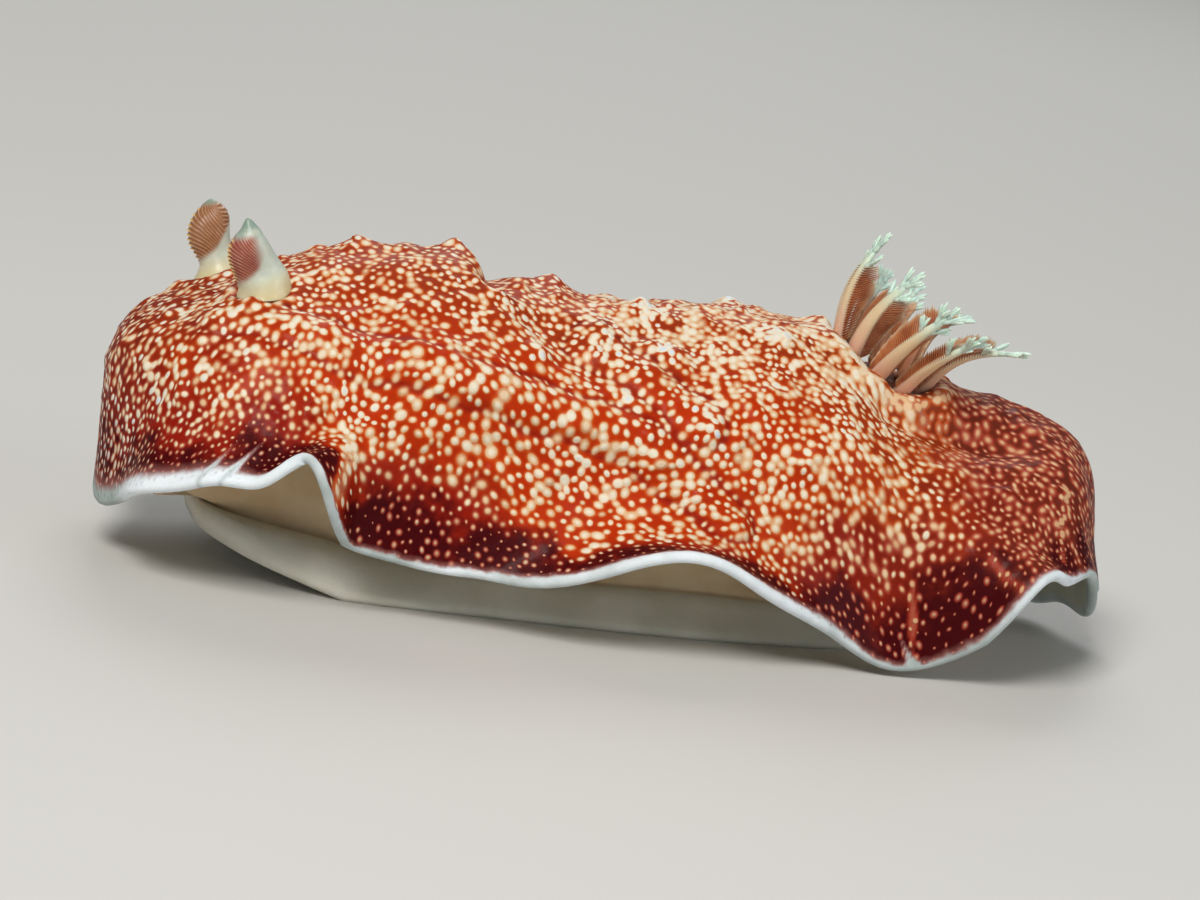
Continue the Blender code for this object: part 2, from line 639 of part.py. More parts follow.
def gill_axis(index, shares):
    """Points up the rachis of one gill, and its directions, which bend over to the rear."""
    turn = gill_turn(index)
    out = np.array([math.cos(turn), math.sin(turn), 0.0])
    from_front = abs(index - (GILLS - 1) // 2)
    lift = math.radians(GILL_LIFTS[from_front])
    flare = GILL_FLARES[from_front] * math.copysign(1.0, out[1])
    end = np.array([math.cos(lift), flare, math.sin(lift)])
    length = GILL_LENGTH * (1.0 + GILL_LENGTH_VARIATION * math.sin(2.4 * index))
    x = np.array([GILL_X + GILL_RING * out[0]])
    y = np.array([GILL_RING * out[1]])
    root = mantle_top(x, y, GAP + GILL_FOOT)[0]
    start = drape_with_normal(x, y)[1][0] + GILL_OUTWARD * out
    points = [root]
    directions = [start / np.linalg.norm(start)]
    for before, after in zip(shares[:-1], shares[1:]):
        way = start + (end - start) * eased((after - GILL_UPRIGHT) / (1.0 - GILL_UPRIGHT))
        way = way / np.linalg.norm(way)
        points.append(points[-1] + way * length * (after - before))
        directions.append(way)
    return np.array(points), np.array(directions)


def tapered_tube(points, directions, radii, side):
    """A closed tube of rings along points, made from a cylinder."""
    bm = bmesh.new()
    bmesh.ops.create_cone(
        bm, cap_ends=True, cap_tris=False, segments=GILL_SIDES, radius1=1.0, radius2=1.0, depth=1.0,
    )
    upright = [edge for edge in bm.edges if abs(edge.verts[0].co.z - edge.verts[1].co.z) > 0.5]
    bmesh.ops.subdivide_edges(bm, edges=upright, cuts=len(points) - 2, use_grid_fill=True)
    for vertex in bm.verts:
        ring = round((vertex.co.z + 0.5) * (len(points) - 1))
        way = Vector(directions[ring])
        across = Vector(side).cross(way).normalized()
        other = way.cross(across)
        radius = radii[ring]
        offset = other * vertex.co.x + across * vertex.co.y
        vertex.co = Vector(points[ring]) + offset * radius
    return bm


def temporary_object(name, bm, collection):
    """A closed helper mesh in a collection that a union reads."""
    bmesh.ops.triangulate(bm, faces=bm.faces[:])
    face_outwards(bm)
    mesh = bpy.data.meshes.new(name)
    bm.to_mesh(mesh)
    bm.free()
    helper = bpy.data.objects.new(name, mesh)
    collection.objects.link(helper)
    return helper


def largest_surface(node):
    """Keep only the largest closed surface of a mesh."""
    bm = bmesh.new()
    bm.from_mesh(node.data)
    left = set(bm.verts)
    groups = []
    while left:
        group = set()
        waiting = [left.pop()]
        while waiting:
            vertex = waiting.pop()
            group.add(vertex)
            for edge in vertex.link_edges:
                other = edge.other_vert(vertex)
                if other in left:
                    left.remove(other)
                    waiting.append(other)
        groups.append(group)
    keep = max(groups, key=len)
    bmesh.ops.delete(bm, geom=[vertex for vertex in bm.verts if vertex not in keep], context="VERTS")
    bm.to_mesh(node.data)
    bm.free()


def leaflet(root, along, out, length, width, thickness, taper):
    """One tapered leaflet, from inside the rachis outwards."""
    bm = bmesh.new()
    bmesh.ops.create_cone(
        bm, cap_ends=True, cap_tris=True, segments=LEAFLET_SIDES,
        radius1=0.5, radius2=0.5 * taper, depth=length,
    )
    flat = along.cross(out).normalized()
    edge = out.cross(flat).normalized()
    for vertex in bm.verts:
        reach = vertex.co.z + length / 2
        spread = edge * (vertex.co.y * width) + flat * (vertex.co.x * thickness)
        vertex.co = root + out * reach + spread
    return bm


def distance_to_axis(place, points):
    """Distance from a point to a line of points."""
    starts = points[:-1]
    spans = points[1:] - starts
    shares = np.clip(((place - starts) * spans).sum(axis=1) / (spans**2).sum(axis=1), 0.0, 1.0)
    return float(np.linalg.norm(place - starts - shares[:, None] * spans, axis=1).min())


def clear_length(root, out, length, axes, index):
    """Longest length of a leaflet that stays nearer to its own gill than to any other."""
    others = [points for other, points in enumerate(axes) if other != index]
    reach = 0.0
    while reach < length:
        place = np.array(root + out * (reach + LEAFLET_STEP))
        nearest = min(distance_to_axis(place, points) for points in others)
        if nearest - distance_to_axis(place, axes[index]) < 2 * LEAFLET_CLEARANCE:
            break
        reach += LEAFLET_STEP
    return reach


def gill_frame(index, share, shares, points, directions):
    """Place up a gill, with its directions up, sideways and inwards."""
    turn = gill_turn(index)
    root = Vector([np.interp(share, shares, points[:, axis]) for axis in range(3)])
    way = Vector([np.interp(share, shares, directions[:, axis]) for axis in range(3)]).normalized()
    side = Vector((-math.sin(turn), math.cos(turn), 0.0))
    inward = way.cross(side).normalized()
    return root, way, inward.cross(way).normalized(), inward


def add_leaflets(index, name, axes, shares, points, directions, radii, collection):
    """Leaflets and fingers of one gill, as closed helper meshes."""
    for pair in range(LEAFLET_PAIRS):
        share = between(*LEAFLET_SHARES, pair / (LEAFLET_PAIRS - 1))
        root, way, aside, inward = gill_frame(index, share, shares, points, directions)
        for hand in (-1, 1):
            out = (aside * hand + inward * LEAFLET_INWARD + way * LEAFLET_UPWARD).normalized()
            length = clear_length(root, out, LEAFLET_LENGTH, axes, index)
            if length < np.interp(share, shares, radii) + LEAFLET_SHORTEST:
                continue
            bm = leaflet(root, way, out, length, LEAFLET_WIDTH, LEAFLET_THICKNESS, LEAFLET_TAPER)
            temporary_object(f"{name}_{pair}_{hand}", bm, collection)
    for number, (share, turn, length) in enumerate(FINGERS):
        root, way, aside, inward = gill_frame(index, share, shares, points, directions)
        out = (way + aside * turn + inward * FINGER_INWARD).normalized()
        length = clear_length(root, out, length * MM, axes, index)
        if length < np.interp(share, shares, radii) + LEAFLET_SHORTEST:
            continue
        bm = leaflet(root, way, out, length, FINGER_WIDTH, FINGER_WIDTH, FINGER_TAPER)
        temporary_object(f"{name}_finger_{number}", bm, collection)


def make_gill(index, axes, material):
    """One gill: a rachis with leaflets and fingers, joined into one closed body."""
    shares = np.linspace(0.0, 1.0, GILL_RINGS)
    points, directions = gill_axis(index, shares)
    radii = between(GILL_BASE_RADIUS, GILL_TIP_RADIUS, shares)
    side = (-math.sin(gill_turn(index)), math.cos(gill_turn(index)), 0.0)
    name = f"gill_{index + 1}"
    node = add_node(name, tapered_tube(points, directions, radii, side), material, 60.0)
    leaflets = bpy.data.collections.new(name + "_leaflets")
    bpy.context.scene.collection.children.link(leaflets)
    add_leaflets(index, name, axes, shares, points, directions, radii, leaflets)
    union = node.modifiers.new("leaflets", "BOOLEAN")
    union.operation = "UNION"
    union.operand_type = "COLLECTION"
    union.collection = leaflets
    union.solver = "EXACT"
    graph = bpy.context.evaluated_depsgraph_get()
    joined = bpy.data.meshes.new_from_object(node.evaluated_get(graph))
    node.modifiers.clear()
    node.data = joined
    for helper in list(leaflets.objects):
        bpy.data.objects.remove(helper, do_unlink=True)
    bpy.data.collections.remove(leaflets)
    largest_surface(node)


def make_gills():
    """The ring of gills in its pocket."""
    pink = make_material("gill_pink", GILL_PINK, 0.4)
    shares = np.linspace(0.0, 1.0, GILL_RINGS)
    axes = [gill_axis(index, shares)[0] for index in range(GILLS)]
    for index in range(GILLS):
        make_gill(index, axes, pink)


def make_material(name, colour, roughness):
    """A plain material."""
    material = bpy.data.materials.new(name)
    material.use_nodes = True
    shader = material.node_tree.nodes["Principled BSDF"]
    shader.inputs["Base Color"].default_value = (*colour, 1.0)
    shader.inputs["Roughness"].default_value = roughness
    shader.inputs["Metallic"].default_value = 0.0
    return material


def main():
    """Build every node of the animal."""
    for item in list(bpy.data.objects):
        bpy.data.objects.remove(item, do_unlink=True)
    collection = bpy.data.collections.new("goniobranch")
    bpy.context.scene.collection.children.link(collection)
    make_mantle()
    make_body()
    make_head()
    make_foot()
    make_rhinophores()
    make_gills()


main()
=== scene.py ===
"""Looks of the red-netted goniobranch: one skin, two rhinophores and a plume of nine gills.

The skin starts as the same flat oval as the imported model, draped over the same spine. It goes on
round the rim, along the underside, down the body and round the foot, as one closed surface.
Metres, +Z up, head towards -X, the sole on Z = 0.
"""

import math

import bpy
import numpy as np
from mathutils import Matrix, Vector, kdtree, noise

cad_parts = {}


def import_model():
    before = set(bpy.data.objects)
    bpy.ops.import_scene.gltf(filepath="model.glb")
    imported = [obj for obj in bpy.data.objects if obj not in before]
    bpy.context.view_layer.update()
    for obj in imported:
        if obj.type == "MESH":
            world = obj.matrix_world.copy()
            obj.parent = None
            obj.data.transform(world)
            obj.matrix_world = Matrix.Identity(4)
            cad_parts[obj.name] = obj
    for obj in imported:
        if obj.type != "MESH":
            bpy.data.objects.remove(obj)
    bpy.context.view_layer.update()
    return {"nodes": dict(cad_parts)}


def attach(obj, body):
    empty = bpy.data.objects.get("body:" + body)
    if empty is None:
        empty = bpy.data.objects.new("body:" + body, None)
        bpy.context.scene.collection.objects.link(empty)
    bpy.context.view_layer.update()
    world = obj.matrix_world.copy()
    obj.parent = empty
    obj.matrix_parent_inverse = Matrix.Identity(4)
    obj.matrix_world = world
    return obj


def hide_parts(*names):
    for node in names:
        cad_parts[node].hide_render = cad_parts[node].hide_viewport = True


MM = 0.001

# The flat mantle, before it is draped
FLAT_MIDDLE = -2.0 * MM
FLAT_HALF_LENGTH = 36.5 * MM
FLAT_HALF_WIDTH = 21.5 * MM
SQUARENESS = 2.4

# The back that it is draped over
SPINE_HEAD = -16.5 * MM
SPINE_TAIL = 21.0 * MM
RIDGE = (
    (-16.5, 18.6), (-13.0, 19.4), (-9.5, 19.2), (-6.0, 18.2), (0.0, 17.8),
    (6.0, 18.2), (12.0, 17.7), (16.0, 16.0), (21.0, 15.0),
)
# Slope near the spine, slope of the skirt, and distance of the shoulder between them
SIDE_DRAPE = (33.0, 80.0, 11.0 * MM)
HEAD_DRAPE = (26.0, 94.0, 14.0 * MM)
TAIL_DRAPE = (13.0, 69.0, 7.4 * MM)
END_BLEND = 1.5
SPINE_ROUND = 4.0 * MM
SHOULDER_BEFORE = 3.0 * MM
SHOULDER_ROUND = 6.0 * MM
FOLD_START = 0.55
PROFILE_STEPS = 60
SMALLEST = 0.001 * MM
SLOPE_STEP = 0.05 * MM

# Folds of the rim: place along it from the head down the left side, half width, swing out in
# degrees, and extra length, all lengths in millimetres. Negative places go down the right side.
FOLDS = (
    (3.5, 6.0, 7.0, 2.4), (14.5, 4.5, 34.0, 0.3), (21.8, 4.6, 52.0, -0.5), (28.2, 3.2, 84.0, -1.9),
    (37.6, 4.4, 0.0, 1.2), (51.5, 7.4, 84.0, -0.9), (66.8, 6.3, 2.0, 2.05), (75.8, 4.0, 72.0, -0.7),
    (83.0, 3.6, 20.0, 0.1), (88.5, 3.2, 0.0, 2.6), (-94.6, 3.9, 0.0, 6.1), (-87.6, 4.8, 0.0, 6.6),
    (-66.0, 5.0, 55.0, 0.0), (-54.0, 5.0, 0.0, 0.8), (-40.0, 5.0, 62.0, 0.0), (-28.0, 5.0, 5.0, 0.4),
    (-14.0, 5.0, 24.0, 0.0),
)

# Thickness of the mantle, from the back to the rim
BACK_THICKNESS = 1.6 * MM
RIM_THICKNESS = 0.65 * MM
THIN_START = 0.5
THIN_END = 0.95

# Folds of the back as lines of flat points, each with its height and half width, a furrow's
# height below zero, and tubercles as flat places with their heights, all in millimetres
FLANK_FOLD = ((-25.0, -5.5), (-18.4, -9.2), (-10.7, -11.4), (-5.2, -11.0), (-0.4, -12.0), (5.2, -16.4))
BACK_FOLD = ((-3.0, -5.6), (-0.2, -7.4), (3.2, -10.7))
TAIL_FURROW = ((16.0, -5.0), (19.5, -5.4), (23.0, -5.0))
NECK_FURROW = ((-8.2, 3.4), (-8.1, 0.6), (-8.5, -2.6))
RIGHT_FOLD = ((-22.0, 7.5), (-12.0, 10.5), (-2.0, 10.0), (8.0, 12.5))
FOLD_SIZES = (
    (FLANK_FOLD, 0.75, 1.6), (BACK_FOLD, 0.5, 1.4), (TAIL_FURROW, -0.8, 1.3),
    (RIGHT_FOLD, 0.6, 1.6), (NECK_FURROW, -1.0, 1.1),
)
TUBERCLES = (
    (-16.1, 1.2, 0.7), (-10.4, 1.0, 0.45), (-8.4, -3.8, 0.5), (-6.6, -7.6, 0.5), (-4.4, 1.3, 0.6),
    (-2.3, -4.4, 0.5), (0.5, -1.4, 0.4), (1.7, -5.6, 0.4), (3.9, -11.3, 0.4), (-13.0, 5.5, 0.5),
    (-5.5, 6.5, 0.5), (1.5, 4.5, 0.4), (7.0, 2.5, 0.4), (8.5, -3.5, 0.4),
)
TUBERCLE_RADIUS = 1.3 * MM

# Fine relief. Heights of tips and creases are in millimetres. Noise is given as its amount, its
# size in millimetres and its seed. Towards the rim the swells fade and the warts get lower.
TUBERCLE_TIP = 0.18
TUBERCLE_TIP_RADIUS = 0.55 * MM
CREASE_AWAY = 1.5 * MM
CREASE_WIDTH = 0.3 * MM
CREASE_DEPTH = 0.14
CREASE_STRAY = (0.5 * MM, 2.4, 71)
SWELLS = (0.16, 3.1, 5)
WARTS = (1.0, 1.25, 9)
WART_LEVEL = 0.12
WART_HEIGHT = 0.50
WART_LEAST = 0.35
WRINKLES = (0.09, 1.5, 13)
WRINKLE_X = (0.55, 0.2)
WRINKLE_Y = (1.4, 0.5)
CALM_START = 0.72
CALM_WIDTH = 0.2
EDGE_START = 0.93
EDGE_WIDTH = 0.07
# How far apart the layers of noise of two seeds lie
NOISE_LAYER = 7.3

# Shares of a pocket's radius: width of its rim, its flat floor, and the wall round that
POCKET_RIM_WIDTH = 0.26
POCKET_FLOOR = 0.55
POCKET_WALL = 0.35

# Rhinophores: side, name, flat place in millimetres and lean forwards in degrees. A pocket is its
# radius, the height of its rim and the level of its floor.
RHINOPHORES = (
    (-1, "rhinophore_left", -22.4, -3.7, 25.0), (1, "rhinophore_right", -24.1, 3.4, 18.0),
)
RHINOPHORE_POCKET = (2.1 * MM, 0.3 * MM, 0.0)
GILL_X = 16.2 * MM
GILL_POCKET = (4.1 * MM, 0.5 * MM, -0.7 * MM)

RHINOPHORE_LENGTH = 4.5 * MM
RHINOPHORE_SPREAD = 5.0
RHINOPHORE_BOW = 0.25 * MM
RHINOPHORE_FOOT = 1.65 * MM
STALK_SHARE = 0.2
# Reaches of a rhinophore from its axis in millimetres, to its front, side and back, each at the
# shares of its height listed first. The left one tapers to a cone, the right one is blunt.
CLUB_SHARES = {
    "rhinophore_left": (0.0, 0.18, 0.32, 0.48, 0.64, 0.76, 0.83, 0.9, 0.96, 1.0),
    "rhinophore_right": (0.0, 0.18, 0.32, 0.48, 0.64, 0.76, 0.85, 0.92, 0.97, 1.0),
}
CLUBS = {
    "rhinophore_left": (
        (1.45, 1.3, 1.34, 1.44, 1.42, 1.2, 0.86, 0.46, 0.26, 0.12),
        (1.5, 1.3, 1.02, 1.02, 1.04, 0.88, 0.68, 0.44, 0.26, 0.12),
        (1.6, 1.62, 1.4, 1.14, 0.92, 0.72, 0.6, 0.42, 0.26, 0.12),
    ),
    "rhinophore_right": (
        (1.4, 1.05, 1.2, 1.48, 1.5, 1.3, 1.02, 0.66, 0.38, 0.14),
        (1.5, 1.15, 0.98, 1.04, 1.06, 0.98, 0.8, 0.56, 0.34, 0.14),
        (1.55, 1.3, 1.02, 0.92, 0.98, 0.98, 0.84, 0.58, 0.34, 0.14),
    ),
}
CLUB_RINGS = 200
CLUB_SIDES = 120
LAMELLAE = 13
LAMELLA_START = 0.20
LAMELLA_ENDS = {"rhinophore_left": 0.86, "rhinophore_right": 1.0}
LAMELLA_REACHES = {"rhinophore_left": 0.60, "rhinophore_right": 1.5}
LAMELLA_HEIGHT = 0.12 * MM
LAMELLA_SLANT = 0.34
LAMELLA_WAVE = 0.35
LAMELLA_CREST = 3.0
LAMELLA_TWIST = (3.0, 11.0)
LAMELLA_MIDDLE = 0.3
# Where the comb of leaflets begins up the club: at its side, lower at its front and higher at
# its back. Then how it fades in, fades out at its top, and ends on the way round the club.
COMB_LOWEST = 0.37
COMB_LOWER_FRONT = 0.15
COMB_HIGHER_BACK = 0.30
COMB_START = (0.03, 0.12)
COMB_TOP_BLEND = 0.09
COMB_INNER = 0.45
COMB_ROUND_BLEND = 0.85
BEAD_START = 0.93
BEAD_WIDTH = 0.06
BEAD_LEAST = 0.55

# Gills in a ring, the front one in the middle of the count, each bent over to the rear
GILL_RING = 2.8 * MM
GILLS = 9
GILL_SPREAD = 35.0
GILL_LENGTH = 6.8 * MM
GILL_LENGTH_VARIATION = 0.05
GILL_UPRIGHT = 0.12
GILL_OUTWARD = 0.42
# Slope of a gill's far end in degrees, and its turn sideways, from the front gill to the rear ones
GILL_LIFTS = (61.0, 52.0, 50.0, 43.0, 10.0)
GILL_FLARES = (0.0, 0.35, 0.5, 0.65, 0.6)
GILL_RINGS = 44
GILL_SIDES = 16
# Half width and half depth of a gill's rachis, as (share up it, size), in millimetres
RACHIS_WIDTH = ((0.0, 0.58), (0.12, 0.52), (0.5, 0.40), (0.8, 0.26), (1.0, 0.13))
RACHIS_DEPTH = ((0.0, 0.42), (0.12, 0.34), (0.5, 0.26), (0.8, 0.20), (1.0, 0.12))
LEAFLET_PAIRS = 30
LEAFLET_SHARES = (0.05, 0.74)
LEAFLET_LENGTH = 1.75 * MM
LEAFLET_WIDTH = 0.20 * MM
LEAFLET_THICKNESS = 0.085 * MM
LEAFLET_INWARD = 1.25
LEAFLET_UPWARD = 0.75
LEAFLET_CURL = 0.55
LEAFLET_RINGS = 7
LEAFLET_CLEARANCE = 0.12 * MM
LEAFLET_STEP = 0.05 * MM
LEAFLET_SHORTEST = 0.25 * MM
# Fingers at a gill's end: share up it, turn to its side, turn inwards, length in millimetres
FINGERS = (
    (0.68, -0.95, 0.35, 1.6), (0.73, 0.95, 0.3, 1.5), (0.84, -0.60, 0.0, 1.6),
    (0.90, 0.55, -0.1, 1.4), (0.96, -0.10, 0.1, 1.0),
)
FINGER_RADIUS = 0.15 * MM
FINGER_FORK = 0.40
FINGER_RINGS = 9

# Body and foot, as (place along X, size) in millimetres
FOOT_TOP = ((-24.0, 3.6), (-20.0, 3.2), (-14.0, 2.4), (8.0, 2.2), (20.0, 1.7), (26.0, 0.7))
FOOT_LIFT = ((-24.0, 2.3), (-20.0, 1.2), (-15.5, 0.0))
FOOT_HALF_WIDTH = (
    (-24.0, 5.2), (-21.5, 7.2), (-18.0, 7.9), (-8.0, 8.2), (8.0, 7.8), (15.0, 6.6),
    (21.0, 4.2), (26.0, 0.9),
)
FOOT_EDGE = 0.6 * MM
FOOT_SHELF = 0.76

# Cells of the skin: along and across the top, then rings below it
COLUMNS = 300
ROWS = 185
TOP_SHARE = 0.985
RIM_TURNS = (60.0, 30.0, 0.0, -30.0, -60.0)
UNDER_RINGS = 9
WALL_SHARES = (
    0.0, 0.15, 0.30, 0.42, 0.52, 0.60, 0.66, 0.71, 0.75, 0.78, 0.81, 0.84, 0.87, 0.90, 0.93,
    0.96, 1.0,
)
FOOT_RINGS = 4
SOLE_SHARES = (0.9, 0.5, 0.1)
SOLE_ROUND = 0.2 * MM
RIM_INNER_SHARE = 0.97

# Ovals that the lower rings follow: middle and half length along X, half width, squareness
CONTACT_OVAL = (1.0 * MM, 24.0 * MM, 10.4 * MM, 2.6)
WAIST_OVAL = (-0.4 * MM, 21.0 * MM, 5.9 * MM, 2.6)
FOOT_OVAL = (1.1 * MM, 24.8 * MM, 1.0, 5.0)
BODY_SWELL = 0.9 * MM

# Front of the head as (height, place along X) in millimetres, and what it carries
HEAD_FRONT = (
    (3.6, -23.0), (4.2, -26.2), (5.2, -27.3), (6.6, -26.9), (8.6, -25.2), (11.4, -23.2),
    (14.5, -21.0),
)
HEAD_PULL = (-16.0, 4.0)
HEAD_BLUNT = 0.6
HEAD_HALF_WIDTH = 5.4 * MM
MOUTH_HEIGHT = 5.3 * MM
MOUTH_HALF_WIDTH = 1.9 * MM
MOUTH_GROOVE = 0.28 * MM
MOUTH_DEPTH = 0.7 * MM
LIP = 0.35 * MM
LIP_HEIGHT = 0.95 * MM
TENTACLE_ROOT = (-25.6 * MM, 3.1 * MM, 4.9 * MM)
TENTACLE_WAY = (-0.62, 0.74, -0.2)
TENTACLE_LENGTH = 2.1 * MM
TENTACLE_RADIUS = 0.85 * MM
TENTACLE_BLUNT = 0.55
TENTACLE_NEAR = 2.5

# Spots of the mantle: seed, distances between them as (place along X, distance) on flank and
# back in millimetres, and how many are looked at for each face
SEED = 11
SPACING_FLANK = (
    (-34.0, 0.42), (-27.0, 0.46), (-18.0, 0.51), (-4.0, 0.52), (4.0, 0.50), (12.0, 0.48),
    (22.0, 0.50), (30.0, 0.49),
)
SPACING_BACK = (
    (-34.0, 0.42), (-27.0, 0.46), (-18.0, 0.47), (-4.0, 0.43), (4.0, 0.41), (12.0, 0.41),
    (22.0, 0.47), (30.0, 0.48),
)
SPACING_MAROON = 0.47 * MM
SPACING_WIDEST = 0.66 * MM
SPACING_FLANK_START = (4.0, 5.0)
SPACING_CHANGE = (0.22, 0.9, 61)
SPOT_LIMIT = 0.995
NEAR_SPOTS = 10
TRIES = 420000
# Radius of a spot as a share of the room round it, as (place along X, share)
SPOT_SHARE = (
    (-34.0, 0.45), (-27.0, 0.46), (-18.0, 0.455), (-6.0, 0.455), (0.0, 0.46), (8.0, 0.48),
    (15.0, 0.50), (22.0, 0.49), (34.0, 0.47),
)

# Parts of the mantle that change its spots, as the start and width of a smooth step in
# millimetres: along X, or from the midline outwards for each HALF
BACK_PART, BACK_HALF = (-6.0, 6.0), (9.0, 5.0)
CROWN_PART, CROWN_HALF = (-18.0, 5.0), (11.0, 3.0)
DOME_PART, DOME_HALF = (15.5, 3.0), (9.5, 3.0)
HEAD_PART, FRONT_PART = (-20.0, 8.0), (-30.5, 3.0)
REAR_PART, TAIL_PART = (11.0, 8.0), (17.5, 4.0)
# What the parts add to a spot's share of the room, and its range of sizes
BACK_LARGER = 0.08
CROWN_LARGER = 0.04
MIDDLE_LARGER = 0.02
SIZE_RANGE = (0.60, 1.25)
MAROON_RADII = (0.05, 0.19)
MAROON_REACH = 1.15
MAROON_FRONT = 0.7
# Whiteness of a spot, and what the parts take from it or add to it
WHITE_MIDDLE = 0.68
REAR_DULLER = 0.14
# On the tail and round and behind the gills the spots are duller: partly their own colour, partly
# painted shade under the gills
TAIL_DULLER_AND_SHADE = 0.32
DOME_DULLER_AND_SHADE = 0.36
MAROON_DULLER = 0.28
DEEP_DULLER = 0.30
CROWN_WHITER = 0.10
FRONT_WHITER = 0.10
# Spots on the tubercles are whiter: partly their own colour, partly a painted highlight on the tops of
# the bumps
TUBERCLE_WHITER_AND_HIGHLIGHT = 0.38
TUBERCLE_WHITE_REACH = 0.8
WHITE_CLOUDS = (0.32, 2.2, 51)
WHITE_SPREAD = (0.13, 0.10, 0.08)
WHITEST = 1.3
STRETCH_MOST = 1.35
STRETCH_ENDS = 0.25

# Maroon patches: place along the rim, half length and depth from the rim, in millimetres
PATCHES = (
    (4.0, 6.5, 6.0), (12.0, 8.0, 4.4), (19.0, 4.0, 3.4), (24.0, 3.6, 5.4), (27.2, 2.6, 4.8),
    (29.6, 1.8, 3.4), (36.0, 5.5, 4.2), (42.0, 5.5, 4.0), (49.0, 4.0, 2.6), (56.0, 5.0, 2.4),
    (63.0, 4.2, 3.8), (67.0, 3.0, 3.6), (70.6, 5.0, 5.0), (79.5, 2.4, 3.6), (83.6, 1.6, 4.0),
    (88.5, 2.6, 3.6),
    (-12.0, 8.0, 3.6),
    (-29.0, 7.0, 5.0), (-44.0, 6.0, 3.6), (-60.0, 7.5, 5.2), (-74.0, 5.0, 4.4), (-88.0, 4.0, 3.0),
)
# Deep red net round the maroon, in the same measures
DEEPS = (
    (3.0, 13.0, 9.0), (16.0, 8.0, 8.0), (24.0, 7.0, 8.5), (37.0, 8.0, 6.0), (52.0, 9.0, 3.4),
    (66.0, 9.0, 8.5), (76.0, 8.0, 9.5), (87.0, 9.0, 10.5), (-14.0, 10.0, 7.0), (-30.0, 10.0, 7.0),
    (-46.0, 9.0, 5.5), (-62.0, 10.0, 7.5), (-76.0, 8.0, 7.0), (-89.0, 7.0, 8.0),
)
# Noise at the edges of both, as (amount, size in millimetres), its seeds, and how edges blend
PATCH_EDGE = ((0.30, 2.0), (0.16, 0.8))
PATCH_SEED = 3
DEEP_SEED = 41
PATCH_LEVEL = 0.40
PATCH_BLEND = 1.25
# Steps as (height, start, width in millimetres) by which the net deepens to both ends and browns
DEEP_HEAD = ((0.5, -20.0, 5.0), (0.5, -28.0, 4.0))
DEEP_REAR = ((0.5, 14.0, 5.0), (0.4, 19.0, 3.0))
DEEP_EDGE = (0.3, 1.8, 45)
# How far the net is painted darker red along the creases beside the folds, as painted shade in the
# creases
CREASE_SHADE = 0.8
BROWN_BACK = ((0.7, 10.0, 7.0),)
BROWN_REAR = ((0.45, 4.0, 12.0), (0.3, 19.0, 4.0))
BROWN_CLOUDS = (0.25, 6.0, 21)
# Pale streaks of merged spots, as lines of flat points in millimetres with their half widths
STREAKS = (
    (((-17.9, -14.8), (-17.6, -16.6), (-18.1, -18.2), (-18.8, -19.4)), 0.50),
    (((16.9, -15.6), (17.2, -17.2), (17.7, -19.3)), 0.14),
    (((21.0, -14.4), (21.8, -15.4), (23.0, -16.3)), 0.26),
    (((26.6, -7.4), (26.8, -10.0), (27.3, -12.6)), 0.28),
    (((-18.0, 15.0), (-15.0, 18.5)), 0.6), (((6.0, 14.5), (9.0, 19.0)), 0.6),
    (((-31.0, 9.0), (-34.0, 12.0)), 0.5), (((24.0, 9.5), (27.5, 12.5)), 0.5),
)
STREAK_EDGE = (0.25 * MM, 1.4, 31)
# Merging on ridges, tubercles, round the gills and in clouds, with reaches as shares of their size
PALE_REACH = 0.45
RIDGE_PALE = 0.7
RIDGE_LEVEL = 0.55
RIDGE_CLOUDS = (1.0, 2.6, 33)
RING_PALE = 0.9
RING_WIDTH = 0.55 * MM
PALE_CLOUDS = (1.0, 2.6, 37)
CLOUD_LEVEL = 0.25
CLOUD_PALE = 1.1
TUBERCLE_PALE = 0.7
STREAK_PALE = 1.7
# The floor of the gills' pocket is painted shade, dark and bare of spots, up to this distance from its
# middle
POCKET_SHADE_INSIDE = 3.1 * MM
POCKET_SHADE_BLEND = 0.6 * MM
# Width of the white margin in millimetres, as (place along the rim, width)
MARGIN = (
    (-80.0, 0.6), (-60.0, 0.5), (-35.0, 0.7), (-10.0, 0.9), (0.0, 1.1), (10.0, 1.1), (19.7, 1.2),
    (20.1, 2.2), (20.4, 1.2), (21.5, 1.2), (21.9, 2.6), (22.3, 1.0), (25.0, 0.6), (28.0, 0.3),
    (31.0, 0.3), (37.0, 0.4), (48.0, 0.5), (56.0, 0.6), (62.0, 0.6), (66.0, 0.4), (67.5, 0.4),
    (67.9, 1.2), (68.3, 0.4), (73.0, 0.5), (78.0, 0.6), (84.0, 0.5), (95.0, 0.7),
)
# How clear the margin is, from white at 0 to see-through at 1
CLEAR = (
    (-90.0, 0.7), (-60.0, 0.4), (-35.0, 0.3), (-12.0, 0.5), (-4.0, 0.9), (7.0, 0.85), (10.5, 0.1),
    (19.7, 0.1), (20.1, 0.6), (20.5, 0.1), (21.5, 0.1), (21.9, 0.6), (22.4, 0.0), (26.5, 0.1),
    (28.5, 0.55), (36.0, 0.7), (39.0, 0.2), (42.0, 0.5), (50.0, 0.3), (58.0, 0.15),
    (64.0, 0.55), (71.0, 0.75), (75.0, 0.35), (79.0, 0.2), (86.0, 0.8), (93.0, 0.9),
)

# Camera, as seen in the photograph: its direction and roll in degrees, distance and focal length
CAMERA_AZIMUTH = -15.0
CAMERA_ELEVATION = 12.0
CAMERA_ROLL = 10.0
CAMERA_DISTANCE = 0.26
CAMERA_TARGET = (0.0, 0.0, 8.8 * MM)
CAMERA_LENS = 131.8

